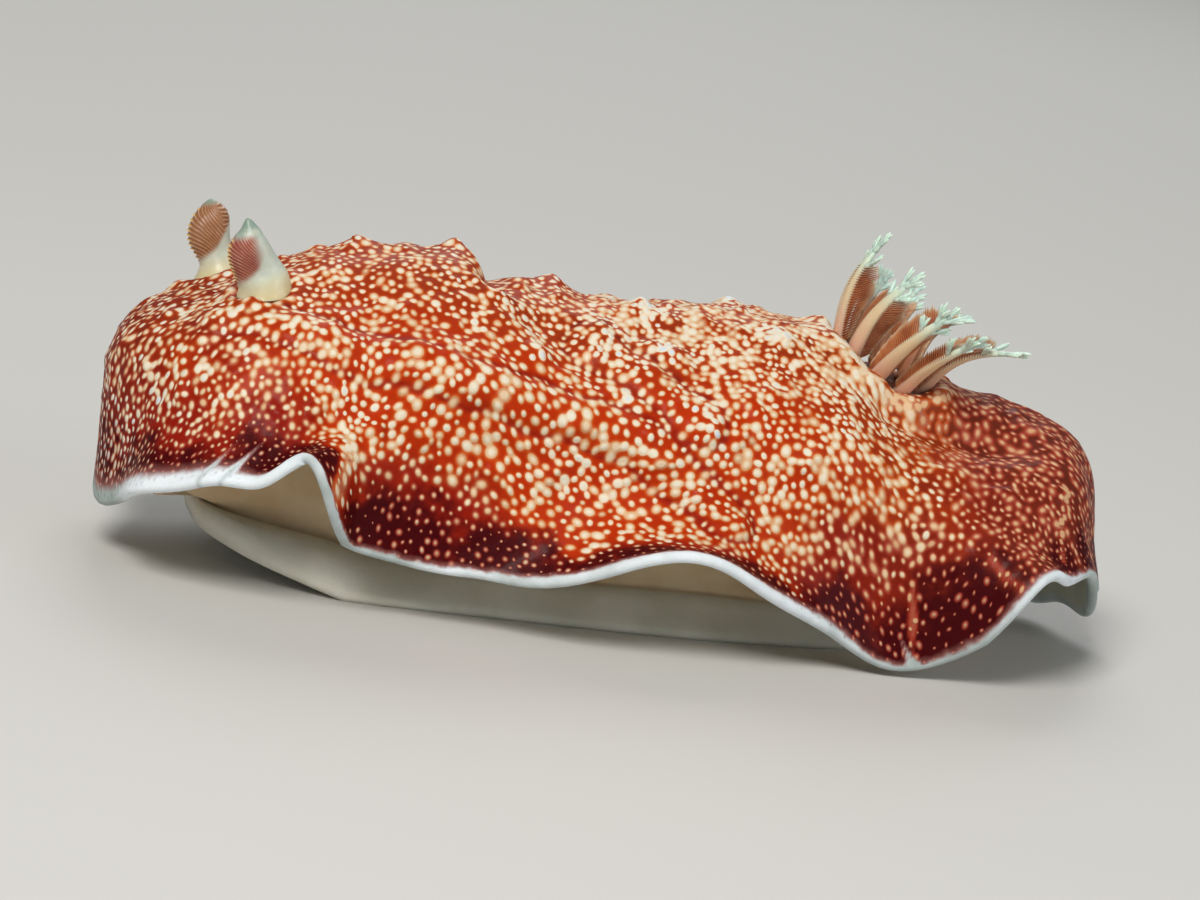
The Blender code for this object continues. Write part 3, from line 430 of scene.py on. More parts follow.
# Colours, linear
SPOT_FAINT = (0.44, 0.13, 0.07, 1.0)
SPOT_PINK = (0.26, 0.11, 0.10, 1.0)
SPOT_CREAM = (0.70, 0.44, 0.23, 1.0)
SPOT_WHITE = (0.78, 0.71, 0.56, 1.0)
# Bluish white of the whitest spots: partly their own colour, partly a painted highlight
SPOT_BLUISH_AND_HIGHLIGHT = (0.62, 0.70, 0.78, 1.0)
NET_RED = (0.46, 0.030, 0.002, 1.0)
NET_BROWN = (0.26, 0.034, 0.008, 1.0)
MAROON = (0.052, 0.0014, 0.0026, 1.0)
HALO_ORANGE = (0.60, 0.12, 0.018, 1.0)
HALO_DEEP = (0.34, 0.040, 0.022, 1.0)
# Painted shade on the floor of the gills' pocket
POCKET_SHADE = (0.085, 0.018, 0.008, 1.0)
MARGIN_WHITE = (0.80, 0.86, 0.90, 1.0)
MARGIN_CLEAR = (0.34, 0.40, 0.38, 1.0)
MARGIN_PINK = (0.38, 0.15, 0.13, 1.0)
UNDER_GREY = (0.44, 0.46, 0.38, 1.0)
BODY_TAN = (0.60, 0.42, 0.24, 1.0)
FOOT_GREY = (0.62, 0.60, 0.50, 1.0)
DEEP_RED = (0.26, 0.010, 0.003, 1.0)
DEEP_BROWN = (0.12, 0.018, 0.008, 1.0)
UNDER_PALE = (0.62, 0.60, 0.50, 1.0)
BODY_PALE = (0.70, 0.56, 0.38, 1.0)
FOOT_PALE = (0.74, 0.72, 0.64, 1.0)

STALK_YELLOW = (0.66, 0.58, 0.32, 1.0)
STALK_PALE = (0.52, 0.58, 0.50, 1.0)
STALK_TIP = (0.24, 0.33, 0.27, 1.0)
LAMELLA_RED = (0.28, 0.045, 0.028, 1.0)
LAMELLA_BROWN = (0.34, 0.085, 0.045, 1.0)
LAMELLA_OCHRE = (0.30, 0.135, 0.045, 1.0)
LAMELLA_EDGE = (0.58, 0.34, 0.24, 1.0)
BEAD_YELLOW = (0.90, 0.62, 0.22, 1.0)
RACHIS_PINK = (0.74, 0.42, 0.30, 1.0)
RACHIS_SAND = (0.74, 0.58, 0.36, 1.0)
FINGER_AQUA = (0.62, 0.82, 0.68, 1.0)
LEAFLET_BROWN = (0.32, 0.085, 0.030, 1.0)
LEAFLET_RUST = (0.52, 0.18, 0.065, 1.0)

# Zones of the skin below the mantle's top, and how far out each lies in the unwrap
ZONES = {"rim": 0.0, "under": 1.0, "body": 2.2, "foot": 3.0, "sole": 3.0}
RING_SPREAD = {
    "top": (1.0, 1.0), "rim": (1.0, 0.96), "under": (0.96, 0.66), "body": (0.66, 0.38),
    "foot": (0.38, 0.24), "sole": (0.24, 0.03),
}
UNWRAP_SCALE = 1.0 / (89.0 * MM)
FAR = 9.0
SPOT_LAYERS = ("spot_a", "spot_b", "spot_c", "spot_d")


def eased(share):
    """Smooth step from 0 to 1."""
    share = np.clip(share, 0.0, 1.0)
    return share * share * (3.0 - 2.0 * share)


def rising(value, start, width):
    """Smooth step from 0 to 1 upwards from its start, in millimetres like its width."""
    return eased((value - start * MM) / (width * MM))


def falling(value, start, width):
    """Smooth step from 0 to 1 downwards from its start, in millimetres like its width."""
    return eased((start * MM - value) / (width * MM))


def summed(step, value, rows):
    """Sum of steps that rise or fall, each given as its height, start and width."""
    return sum(height * step(value, start, width) for height, start, width in rows)


def curve_through(points, x):
    """Smooth value at x, through points given in millimetres, held level past the ends."""
    places = np.array([point[0] for point in points]) * MM
    values = np.array([point[1] for point in points]) * MM
    slopes = np.gradient(values, places)
    cell = np.clip(np.searchsorted(places, x) - 1, 0, len(places) - 2)
    width = places[cell + 1] - places[cell]
    t = np.clip((x - places[cell]) / width, 0.0, 1.0)
    start = (2 * t**3 - 3 * t**2 + 1) * values[cell] + (t**3 - 2 * t**2 + t) * width * slopes[cell]
    end = (3 * t**2 - 2 * t**3) * values[cell + 1] + (t**3 - t**2) * width * slopes[cell + 1]
    return start + end


def oval_reach(angle, squareness):
    """Distance to the rim of a unit squarish oval at an angle."""
    along = np.abs(np.cos(angle)) ** squareness
    across = np.abs(np.sin(angle)) ** squareness
    return (along + across) ** (-1.0 / squareness)


def flat_point(angle, share):
    """Flat mantle point at an angle and a share of the way to the rim."""
    reach = share * oval_reach(angle, SQUARENESS)
    x = FLAT_MIDDLE + FLAT_HALF_LENGTH * reach * np.cos(angle)
    return x, FLAT_HALF_WIDTH * reach * np.sin(angle)


def flat_polar(x, y):
    """Angle and share of the way to the rim of a flat point."""
    along = (x - FLAT_MIDDLE) / FLAT_HALF_LENGTH
    across = y / FLAT_HALF_WIDTH
    angle = np.arctan2(across, along)
    return angle, np.hypot(along, across) / oval_reach(angle, SQUARENESS)


RIM_ANGLES = np.linspace(-math.pi, math.pi, 1441)
RIM_X, RIM_Y = flat_point(RIM_ANGLES, 1.0)
RIM_PLACES = np.concatenate([[0.0], np.cumsum(np.hypot(np.diff(RIM_X), np.diff(RIM_Y)))])
RIM_LENGTH = RIM_PLACES[-1]


def rim_place(angle):
    """Place along the rim of an angle, from the head down the left side."""
    return np.interp(angle, RIM_ANGLES, RIM_PLACES)


def around_rim(place, middle):
    """Distance along the rim from a middle given in millimetres."""
    return np.mod(place - middle * MM + RIM_LENGTH / 2, RIM_LENGTH) - RIM_LENGTH / 2


def rim_folds(angle):
    """Swing out, in radians, and extra length of the rim at an angle."""
    place = rim_place(angle)
    swing = np.zeros_like(place)
    reach = np.zeros_like(place)
    for middle, half_width, degrees, extra in FOLDS:
        near = np.exp(-(around_rim(place, middle) / (half_width * MM)) ** 2)
        swing += math.radians(degrees) * near
        reach += extra * MM * near
    return swing, reach


def drape(x, y):
    """Place of a flat mantle point on the animal."""
    spine = np.clip(x, SPINE_HEAD, SPINE_TAIL)
    away = np.hypot(x - spine, y)
    safe = np.maximum(away, SMALLEST)
    out_x = (x - spine) / safe
    out_y = y / safe
    head = np.clip(-out_x, 0.0, 1.0) ** END_BLEND
    tail = np.clip(out_x, 0.0, 1.0) ** END_BLEND
    side = 1.0 - head - tail
    shares = ((side, SIDE_DRAPE), (head, HEAD_DRAPE), (tail, TAIL_DRAPE))
    upper = sum(share * math.radians(slopes[0]) for share, slopes in shares)
    lower = sum(share * math.radians(slopes[1]) for share, slopes in shares)
    shoulder = sum(share * slopes[2] for share, slopes in shares)
    angle, rim_share = flat_polar(x, y)
    swing, reach = rim_folds(angle)
    fold_mean = (1.0 - FOLD_START) / 2
    level = np.zeros_like(away)
    drop = np.zeros_like(away)
    for step in range(PROFILE_STEPS):
        part = (step + 0.5) / PROFILE_STEPS
        run = part * away
        fold = eased((rim_share * part - FOLD_START) / (1.0 - FOLD_START))
        bend = eased((run - (shoulder - SHOULDER_BEFORE)) / SHOULDER_ROUND)
        slope = upper * eased(run / SPINE_ROUND) + (lower - upper) * bend - swing * fold
        stride = (away + reach * fold / fold_mean) / PROFILE_STEPS
        level += np.cos(slope) * stride
        drop += np.sin(slope) * stride
    height = curve_through(RIDGE, spine) - drop
    return np.stack([spine + out_x * level, out_y * level, height], axis=-1)


def drape_with_normal(x, y):
    """Place and outward direction of a flat mantle point."""
    along = drape(x + SLOPE_STEP, y) - drape(x - SLOPE_STEP, y)
    across = drape(x, y + SLOPE_STEP) - drape(x, y - SLOPE_STEP)
    normal = np.cross(along, across)
    return drape(x, y), normal / np.linalg.norm(normal, axis=-1, keepdims=True)


def distance_to_line(x, y, line):
    """Distance from flat points to a line of flat points in millimetres."""
    best = np.full_like(x, 1.0)
    for start, end in zip(line[:-1], line[1:]):
        first = np.array(start) * MM
        span = np.array(end) * MM - first
        t = ((x - first[0]) * span[0] + (y - first[1]) * span[1]) / (span @ span)
        t = np.clip(t, 0.0, 1.0)
        gap = np.hypot(x - first[0] - t * span[0], y - first[1] - t * span[1])
        best = np.minimum(best, gap)
    return best


def mound(x, y, place_x, place_y, radius):
    """Round mound of height 1 at a flat place in millimetres."""
    away = np.hypot(x - place_x * MM, y - place_y * MM) / radius
    return np.exp(-away**2)


def ridge(x, y, line, half_width):
    """Rounded ridge of height 1 along a line of flat points in millimetres."""
    away = distance_to_line(x, y, line) / half_width
    return np.exp(-away**2)


def pocket(away, radius, rim, floor):
    """Height of a round pocket with a raised rim, at a distance from its middle."""
    lip = rim * np.exp(-((away - radius) / (POCKET_RIM_WIDTH * radius)) ** 2)
    return lip + floor * (1.0 - eased((away / radius - POCKET_FLOOR) / POCKET_WALL))


def relief(x, y):
    """Height of the folds, tubercles and pockets above the smooth mantle."""
    height = np.zeros_like(x)
    for line, tall, half_width in FOLD_SIZES:
        height += tall * MM * ridge(x, y, line, half_width * MM)
    for place_x, place_y, tall in TUBERCLES:
        height += tall * MM * mound(x, y, place_x, place_y, TUBERCLE_RADIUS)
    for _, _, place_x, place_y, _ in RHINOPHORES:
        away = np.hypot(x - place_x * MM, y - place_y * MM)
        height += pocket(away, *RHINOPHORE_POCKET)
    height += pocket(np.hypot(x - GILL_X, y), *GILL_POCKET)
    return height


def mantle_top(x, y, above=0.0):
    """Outer face of the mantle at a flat point."""
    place, normal = drape_with_normal(x, y)
    return place + normal * (relief(x, y) + above)[..., None]


def mantle_under(x, y):
    """Inner face of the mantle at a flat point."""
    place, normal = drape_with_normal(x, y)
    share = flat_polar(x, y)[1]
    thin = eased((share - THIN_START) / (THIN_END - THIN_START))
    thickness = BACK_THICKNESS + (RIM_THICKNESS - BACK_THICKNESS) * thin
    return place - normal * thickness[..., None]


def disc_point(a, b):
    """Angle and share of a disc for a square's point, so that even cells stay even."""
    wide = np.abs(a) >= np.abs(b)
    main = np.where(wide, a, b)
    other = np.where(wide, b, a)
    turn = math.pi / 4 * other / np.where(main == 0.0, 1.0, main)
    angle = np.where(wide, turn, math.pi / 2 - turn) + np.where(main < 0.0, math.pi, 0.0)
    return np.mod(angle + math.pi, 2 * math.pi) - math.pi, np.abs(main)


def between(start, end, share):
    """Value a share of the way from start to end."""
    return start + (end - start) * share


def unit(vectors):
    """Vectors of length one."""
    return vectors / np.linalg.norm(vectors, axis=-1, keepdims=True)


def oval_points(angle, oval):
    """Points of a squarish oval at angles."""
    middle, half_length, half_width, squareness = oval
    reach = oval_reach(angle, squareness)
    return middle + half_length * reach * np.cos(angle), half_width * reach * np.sin(angle)


def foot_top(x, y):
    """Upper face of the foot, thick in the middle and thin at its edges."""
    side = np.abs(y) / np.maximum(curve_through(FOOT_HALF_WIDTH, x), SMALLEST)
    low = curve_through(FOOT_LIFT, x)
    thick = curve_through(FOOT_TOP, x) - low
    flank = eased((side - FOOT_SHELF) / (1.0 - FOOT_SHELF))
    return low + between(thick, np.minimum(FOOT_EDGE, thick), flank)


def rim_rings(angle):
    """Rounded edge of the mantle, as rings from its outer face to its inner one."""
    x, y = flat_point(angle, TOP_SHARE)
    outer = mantle_top(x, y)
    inner = mantle_under(x, y)
    out = unit(drape(*flat_point(angle, 1.0)) - drape(*flat_point(angle, RIM_INNER_SHARE)))
    middle = (outer + inner) / 2
    up = (outer - inner) / 2
    reach = out * np.linalg.norm(up, axis=-1, keepdims=True)
    turns = (math.radians(degrees) for degrees in RIM_TURNS)
    return [middle + up * math.sin(turn) + reach * math.cos(turn) for turn in turns]


def shape_head(points):
    """Pull the front of the body out into the head, its lips and its two oral tentacles."""
    x, y, z = points.T
    across = np.clip(1.0 - (y / HEAD_HALF_WIDTH) ** 2, 0.0, 1.0) ** HEAD_BLUNT
    front = across * falling(x, *HEAD_PULL)
    groove = np.exp(-(((z - MOUTH_HEIGHT) / MOUTH_GROOVE) ** 2))
    lips = np.exp(-(((z - MOUTH_HEIGHT) / LIP_HEIGHT) ** 2))
    mouth = np.exp(-((y / MOUTH_HALF_WIDTH) ** 4)) * (LIP * lips - (LIP + MOUTH_DEPTH) * groove)
    target = curve_through(HEAD_FRONT, z) - mouth
    x = x + np.minimum(target - x, 0.0) * front
    shaped = np.stack([x, y, z], axis=-1)
    for side in (-1.0, 1.0):
        root = np.array([TENTACLE_ROOT[0], side * TENTACLE_ROOT[1], TENTACLE_ROOT[2]])
        way = unit(np.array([TENTACLE_WAY[0], side * TENTACLE_WAY[1], TENTACLE_WAY[2]]))
        offset = shaped - root
        aside = np.linalg.norm(offset - (offset @ way)[:, None] * way, axis=-1)
        near = np.clip(1.0 - (aside / TENTACLE_RADIUS) ** 2, 0.0, 1.0) ** TENTACLE_BLUNT
        facing = np.linalg.norm(offset, axis=-1) < TENTACLE_NEAR * TENTACLE_RADIUS
        shaped = shaped + way * (TENTACLE_LENGTH * near * facing)[:, None]
    return shaped


def lower_rings(angle):
    """Rings below the rim: underside, body wall, foot and sole, with a name for each ring."""
    rings = [(ring, "rim") for ring in rim_rings(angle)]
    rim_x, rim_y = flat_point(angle, TOP_SHARE)
    contact_x, contact_y = oval_points(angle, CONTACT_OVAL)
    for share in np.linspace(0.0, 1.0, UNDER_RINGS):
        x = between(rim_x, contact_x, share)
        y = between(rim_y, contact_y, share)
        rings.append((mantle_under(x, y), "under"))
    contact = rings[-1][0]
    waist_x, waist_y = oval_points(angle, WAIST_OVAL)
    waist = np.stack([waist_x, waist_y, foot_top(waist_x, waist_y)], axis=-1)
    out = np.stack([np.cos(angle), np.sin(angle), np.zeros_like(angle)], axis=-1)
    for share in WALL_SHARES[1:]:
        wall = between(contact, waist, share) + out * BODY_SWELL * math.sin(math.pi * share)
        rings.append((shape_head(wall), "body"))
    waist = rings[-1][0]
    edge_x, side = oval_points(angle, FOOT_OVAL)
    edge_y = np.clip(side, -1.0, 1.0) * curve_through(FOOT_HALF_WIDTH, edge_x)
    for share in np.linspace(0.0, 1.0, FOOT_RINGS + 1)[1:]:
        x = between(waist[:, 0], edge_x, share)
        y = between(waist[:, 1], edge_y, share)
        rings.append((np.stack([x, y, foot_top(x, y)], axis=-1), "foot"))
    low = curve_through(FOOT_LIFT, edge_x)
    high = foot_top(edge_x, edge_y)
    grown = 1.0 + SOLE_ROUND / np.hypot(edge_x, edge_y)
    middle = np.stack([edge_x * grown, edge_y * grown, between(low, high, 0.5)], axis=-1)
    rings.append((middle, "foot"))
    rings.append((np.stack([edge_x, edge_y, low], axis=-1), "foot"))
    for share in SOLE_SHARES:
        x = between(FOOT_OVAL[0], edge_x, share)
        rings.append((np.stack([x, edge_y * share, curve_through(FOOT_LIFT, x)], axis=-1), "sole"))
    return rings


def tree_of(x, y):
    """Search tree of flat points."""
    tree = kdtree.KDTree(len(x))
    for index, (one_x, one_y) in enumerate(zip(x, y)):
        tree.insert((one_x, one_y, 0.0), index)
    tree.balance()
    return tree


def rim_nearest(x, y):
    """Distance to the rim and place along it, for flat points."""
    tree = tree_of(RIM_X[:-1], RIM_Y[:-1])
    found = [tree.find((one_x, one_y, 0.0)) for one_x, one_y in zip(x, y)]
    away = np.array([distance for _, _, distance in found])
    return away, RIM_PLACES[[index for _, index, _ in found]]


def wavy(x, y, amount, size, seed):
    """Smooth noise of about plus and minus an amount, with bumps of a size in millimetres."""
    size = size * MM
    places = zip(x / size, y / size)
    return amount * np.array([
        noise.noise((one_x + seed, one_y - seed, NOISE_LAYER * seed)) for one_x, one_y in places
    ])


def streak_share(x, y):
    """How far the spots merge into a pale streak at flat points."""
    streak = np.zeros_like(x)
    for line, half_width in STREAKS:
        away = distance_to_line(x, y, line) + wavy(x, y, *STREAK_EDGE)
        streak = np.maximum(streak, np.exp(-(np.maximum(away, 0.0) / (half_width * MM)) ** 2))
    return streak


def patch_share(patches, x, y, away, place, seed):
    """How far the patches along the rim cover flat points, from 0 to 1."""
    field = np.full_like(x, -1.0)
    for middle, half_length, depth in patches:
        along = around_rim(place, middle) / (half_length * MM)
        field = np.maximum(field, 1.0 - along**2 - (away / (depth * MM)) ** 2)
    for layer, (amount, size) in enumerate(PATCH_EDGE):
        field = field + wavy(x, y, amount, size, seed + layer)
    return eased((field + PATCH_LEVEL) / PATCH_BLEND)


def crease_share(x, y):
    """How near flat points lie to the thin creases beside the folds, from 0 to 1."""
    crease = np.zeros_like(x)
    for line in (FLANK_FOLD, BACK_FOLD, RIGHT_FOLD):
        away = distance_to_line(x, y, line) + wavy(x, y, *CREASE_STRAY)
        crease = np.maximum(crease, np.exp(-((away - CREASE_AWAY) / CREASE_WIDTH) ** 2))
    return crease


def deep_share(x, y, away, place):
    """How deep red the net is at flat points, from 0 to 1: round the maroon, at both ends, and as
    painted shade along the creases.
    """
    ends = np.maximum(summed(falling, x, DEEP_HEAD), summed(rising, x, DEEP_REAR))
    ends = ends + wavy(x, y, *DEEP_EDGE)
    deep = np.maximum(patch_share(DEEPS, x, y, away, place, DEEP_SEED), ends)
    return np.clip(np.maximum(deep, CREASE_SHADE * crease_share(x, y)), 0.0, 1.0)


def maroon_share(x, y, away, place):
    """How maroon the mantle is at flat points, from 0 to 1."""
    return patch_share(PATCHES, x, y, away, place, PATCH_SEED) * (1.0 - streak_share(x, y))


def along_list(pairs, value):
    """Value between the (place, value) pairs of a list in millimetres, round the rim."""
    places = [pair[0] * MM for pair in pairs]
    values = [pair[1] for pair in pairs]
    return np.interp(around_rim(value, 0.0), places, values)


def spot_spacing(x, y, maroon):
    """Distance between neighbouring spots at flat points: wide on the flanks, close behind."""
    flank = rising(np.abs(y), *SPACING_FLANK_START)
    spacing = between(curve_through(SPACING_BACK, x), curve_through(SPACING_FLANK, x), flank)
    spacing = between(spacing, SPACING_MAROON, maroon)
    return spacing * (1.0 + wavy(x, y, *SPACING_CHANGE))


def scatter_spots(generator):
    """Flat places of spots that keep their distance, by throwing darts at the mantle."""
    x = generator.uniform(-1.0, 1.0, TRIES) * FLAT_HALF_LENGTH + FLAT_MIDDLE
    y = generator.uniform(-1.0, 1.0, TRIES) * FLAT_HALF_WIDTH
    share = flat_polar(x, y)[1]
    x, y = x[share < SPOT_LIMIT], y[share < SPOT_LIMIT]
    away, place = rim_nearest(x, y)
    maroon = maroon_share(x, y, away, place)
    spacing = spot_spacing(x, y, maroon)
    cell = SPACING_WIDEST
    grid = {}
    kept = []
    for index in range(len(x)):
        column, row = int(x[index] // cell), int(y[index] // cell)
        near = [
            other for i in (-1, 0, 1) for j in (-1, 0, 1)
            for other in grid.get((column + i, row + j), ())
        ]
        reach = spacing[index]
        if all(math.hypot(x[other] - x[index], y[other] - y[index]) > reach for other in near):
            kept.append(index)
            grid.setdefault((column, row), []).append(index)
    return x[kept], y[kept], away[kept], place[kept]


def make_spots():
    """Every spot: flat place, radius, stretch along a direction, and whiteness."""
    generator = np.random.default_rng(SEED)
    x, y, away, place = scatter_spots(generator)
    tree = tree_of(x, y)
    room = np.array([
        np.mean([distance for _, _, distance in tree.find_n((one_x, one_y, 0.0), 4)[1:]])
        for one_x, one_y in zip(x, y)
    ])
    beside = np.abs(y)
    back = falling(beside, *BACK_HALF) * rising(x, *BACK_PART)
    crown = falling(beside, *CROWN_HALF) * falling(x, *CROWN_PART)
    dome = rising(x, *DOME_PART) * falling(beside, *DOME_HALF)
    head = falling(x, *HEAD_PART)
    front = falling(x, *FRONT_PART)
    rear = rising(x, *REAR_PART)
    tail = rising(x, *TAIL_PART)
    # The deep red net includes painted shade along the creases, which dulls the spots there too
    deep = deep_share(x, y, away, place)
    share = curve_through(SPOT_SHARE, x) / MM + BACK_LARGER * back * (1.0 - rear)
    share = share + CROWN_LARGER * crown + MIDDLE_LARGER * (1.0 - rear) * (1.0 - head)
    radius = room * share * generator.uniform(*SIZE_RANGE, len(x))
    maroon = patch_share(PATCHES, x, y, away, place, PATCH_SEED)
    small = eased(maroon * MAROON_REACH) * (1.0 - MAROON_FRONT * front)
    radius = between(radius, generator.uniform(*MAROON_RADII, len(x)) * MM, small)
    # On the tail and the dome behind the gills the duller spots are partly painted shade
    white = WHITE_MIDDLE - REAR_DULLER * rear - TAIL_DULLER_AND_SHADE * tail - DOME_DULLER_AND_SHADE * dome
    white = white - MAROON_DULLER * small * (1.0 + rear) + CROWN_WHITER * crown
    white = white + FRONT_WHITER * front - DEEP_DULLER * deep * (1.0 - front)
    white = white + wavy(x, y, *WHITE_CLOUDS)
    spread, head_spread, rear_spread = WHITE_SPREAD
    spread = spread + head_spread * head + rear_spread * rear
    white = white + generator.normal(0.0, 1.0, len(x)) * spread
    # Whiter spots on the tubercles: partly their own colour, partly a painted highlight on the bumps
    for place_x, place_y, _ in TUBERCLES:
        reach = TUBERCLE_WHITE_REACH * TUBERCLE_RADIUS
        white = white + TUBERCLE_WHITER_AND_HIGHLIGHT * mound(x, y, place_x, place_y, reach)
    white = np.clip(white, 0.0, WHITEST)
    turn = generator.uniform(0.0, math.pi, len(x))
    longest = STRETCH_MOST + STRETCH_ENDS * np.maximum(head, rear)
    stretch = generator.uniform(1.0, longest, len(x))
    return {"x": x, "y": y, "radius": radius, "turn": turn, "stretch": stretch, "white": white}


def spot_vectors(spots, corner_x, corner_y):
    """For quads of flat points, the vector to each corner from the four spots nearest to it.

    A vector is measured in the spot's own radii, so its length is 1 on the spot's outline. Its
    third number is the spot's whiteness.
    """
    tree = tree_of(spots["x"], spots["y"])
    middle_x, middle_y = corner_x.mean(axis=1), corner_y.mean(axis=1)
    near = np.array([
        [index for _, index, _ in tree.find_n((one_x, one_y, 0.0), NEAR_SPOTS)]
        for one_x, one_y in zip(middle_x, middle_y)
    ])
    across = np.cos(spots["turn"])[near], np.sin(spots["turn"])[near]
    radius, stretch = spots["radius"][near], spots["stretch"][near]

    def scaled(x, y):
        off_x, off_y = x - spots["x"][near], y - spots["y"][near]
        long = (off_x * across[0] + off_y * across[1]) / (radius * np.sqrt(stretch))
        wide = (off_y * across[0] - off_x * across[1]) / radius * np.sqrt(stretch)
        return long, wide

    middle = np.hypot(*scaled(middle_x[:, None], middle_y[:, None]))
    order = np.argsort(middle, axis=1)[:, : len(SPOT_LAYERS)]
    rows = np.arange(len(near))[:, None]
    white = spots["white"][near][rows, order]
    vectors = []
    for corner in range(corner_x.shape[1]):
        long, wide = scaled(corner_x[:, corner, None], corner_y[:, corner, None])
        vectors.append(np.stack([long[rows, order], wide[rows, order], white], axis=-1))
    return np.stack(vectors, axis=1)


def corner_layer(mesh, name, values):
    """A vector for every corner of every face."""
    layer = mesh.attributes.new(name, "FLOAT_VECTOR", "CORNER")
    layer.data.foreach_set("vector", np.ascontiguousarray(values, dtype=np.float32).ravel())


def point_layer(mesh, name, values):
    """A number for every vertex."""
    layer = mesh.attributes.new(name, "FLOAT", "POINT")
    layer.data.foreach_set("value", np.ascontiguousarray(values, dtype=np.float32).ravel())


def fine_relief(x, y):
    """Wrinkles and small warts of the living skin, on top of the folds."""
    share = flat_polar(x, y)[1]
    calm = 1.0 - eased((share - CALM_START) / CALM_WIDTH)
    warts = np.clip(wavy(x, y, *WARTS) - WART_LEVEL, 0.0, 1.0) * WART_HEIGHT
    for place_x, place_y, _ in TUBERCLES:
        warts = warts + TUBERCLE_TIP * mound(x, y, place_x, place_y, TUBERCLE_TIP_RADIUS)
    along = x * WRINKLE_X[0] + y * WRINKLE_X[1]
    across = y * WRINKLE_Y[0] - x * WRINKLE_Y[1]
    wrinkles = wavy(along, across, *WRINKLES) - CREASE_DEPTH * crease_share(x, y)
    return (wavy(x, y, *SWELLS) * calm + warts * between(WART_LEAST, 1.0, calm) + wrinkles) * MM


def skin_mesh():
    """The closed skin, with its spots, zones and unwrap."""
    a, b = np.meshgrid(
        np.linspace(-1.0, 1.0, COLUMNS + 1), np.linspace(-1.0, 1.0, ROWS + 1), indexing="ij",
    )
    angle, share = disc_point(a.ravel(), b.ravel())
    x, y = flat_point(angle, share * TOP_SHARE)
    edge = 1.0 - eased((share - EDGE_START) / EDGE_WIDTH)
    top = mantle_top(x, y, fine_relief(x, y) * edge)
    number = np.arange(len(x)).reshape(a.shape)
    loop = np.concatenate([number[:-1, 0], number[-1, :-1], number[:0:-1, -1], number[0, :0:-1]])
    cells = [number[:-1, :-1], number[1:, :-1], number[1:, 1:], number[:-1, 1:]]
    top_quads = np.stack(cells, axis=-1).reshape(-1, 4)
    quads = [top_quads]
    places = [top]
    zones = [np.zeros(len(x))]
    spreads = [np.full(len(x), RING_SPREAD["top"][0])]
    count = len(x)
    before = loop
    rings = lower_rings(angle[loop])
    kinds = [kind for _, kind in rings]
    edge_ring = rings[kinds.index("under")][0]
    depths = []
    for index, (ring, kind) in enumerate(rings):
        inside = np.linalg.norm(ring - edge_ring, axis=-1) / MM
        depths.append(np.zeros(len(loop)) if kind == "rim" else inside)
        after = np.arange(count, count + len(loop))
        quads.append(np.stack([before, after, np.roll(after, -1), np.roll(before, -1)], axis=-1))
        places.append(ring)
        start, end = RING_SPREAD[kind]
        done = (index - kinds.index(kind) + 1) / kinds.count(kind)
        spreads.append(np.full(len(loop), between(start, end, done)))
        zones.append(np.full(len(loop), ZONES[kind]))
        before = after
        count += len(loop)
    places.append(np.array([[FOOT_OVAL[0], 0.0, 0.0]]))
    zones.append([ZONES["sole"]])
    spreads.append([0.0])
    fan = [(int(one), count, int(two)) for one, two in zip(before, np.roll(before, -1))]
    mesh = bpy.data.meshes.new("skin")
    faces = np.concatenate(quads).tolist() + fan
    mesh.from_pydata(np.concatenate(places).tolist(), [], faces)
    mesh.shade_smooth()

    around = np.concatenate([angle] + [angle[loop]] * len(rings) + [[0.0]])
    reach = np.concatenate([share, *spreads[1:]])
    corners = np.empty(len(mesh.loops), dtype=np.int64)
    mesh.loops.foreach_get("vertex_index", corners)
    below = np.arange(len(corners)) >= 4 * len(top_quads)
    spread = np.where(below, np.concatenate(spreads)[corners], reach[corners])
    flat_x, flat_y = flat_point(around[corners], spread)
    unwrap = mesh.uv_layers.new(name="OFBake")
    u = 0.5 + (flat_x - FLAT_MIDDLE) * UNWRAP_SCALE
    v = np.where(below, 0.25, 0.75) + flat_y * UNWRAP_SCALE
    unwrap.data.foreach_set("uv", np.stack([u, v], axis=-1).astype(np.float32).ravel())

    spots = make_spots()
    vectors = np.full((len(corners), len(SPOT_LAYERS), 3), FAR)
    found = spot_vectors(spots, x[top_quads], y[top_quads])
    vectors[: 4 * len(top_quads)] = found.reshape(-1, len(SPOT_LAYERS), 3)
    for order, name in enumerate(SPOT_LAYERS):
        corner_layer(mesh, name, vectors[:, order])

    away, place = rim_nearest(x, y)
    pad = np.zeros(count + 1 - len(x))
    every = rim_place(around)
    point_layer(mesh, "zone", np.concatenate(zones))
    point_layer(mesh, "rim", np.concatenate([away / MM, np.concatenate(depths), [FAR]]))
    point_layer(mesh, "margin", along_list(MARGIN, every))
    point_layer(mesh, "clear", along_list(CLEAR, every))
    point_layer(mesh, "maroon", np.concatenate([maroon_share(x, y, away, place), pad]))
    # The deep red of the net, with painted shade along the creases
    deep = deep_share(x, y, away, place)
    point_layer(mesh, "deep", np.concatenate([deep, pad]))
    point_layer(mesh, "brown", np.concatenate([brown_share(x, y), pad]))
    point_layer(mesh, "pale", np.concatenate([pale_share(x, y), pad]))
    # Painted shade in the gills' pocket, which also takes away its spots
    pocket_shade = 1.0 - eased((np.hypot(x - GILL_X, y) - POCKET_SHADE_INSIDE) / POCKET_SHADE_BLEND)
    point_layer(mesh, "pocket_shade", np.concatenate([pocket_shade, pad]))
    return mesh


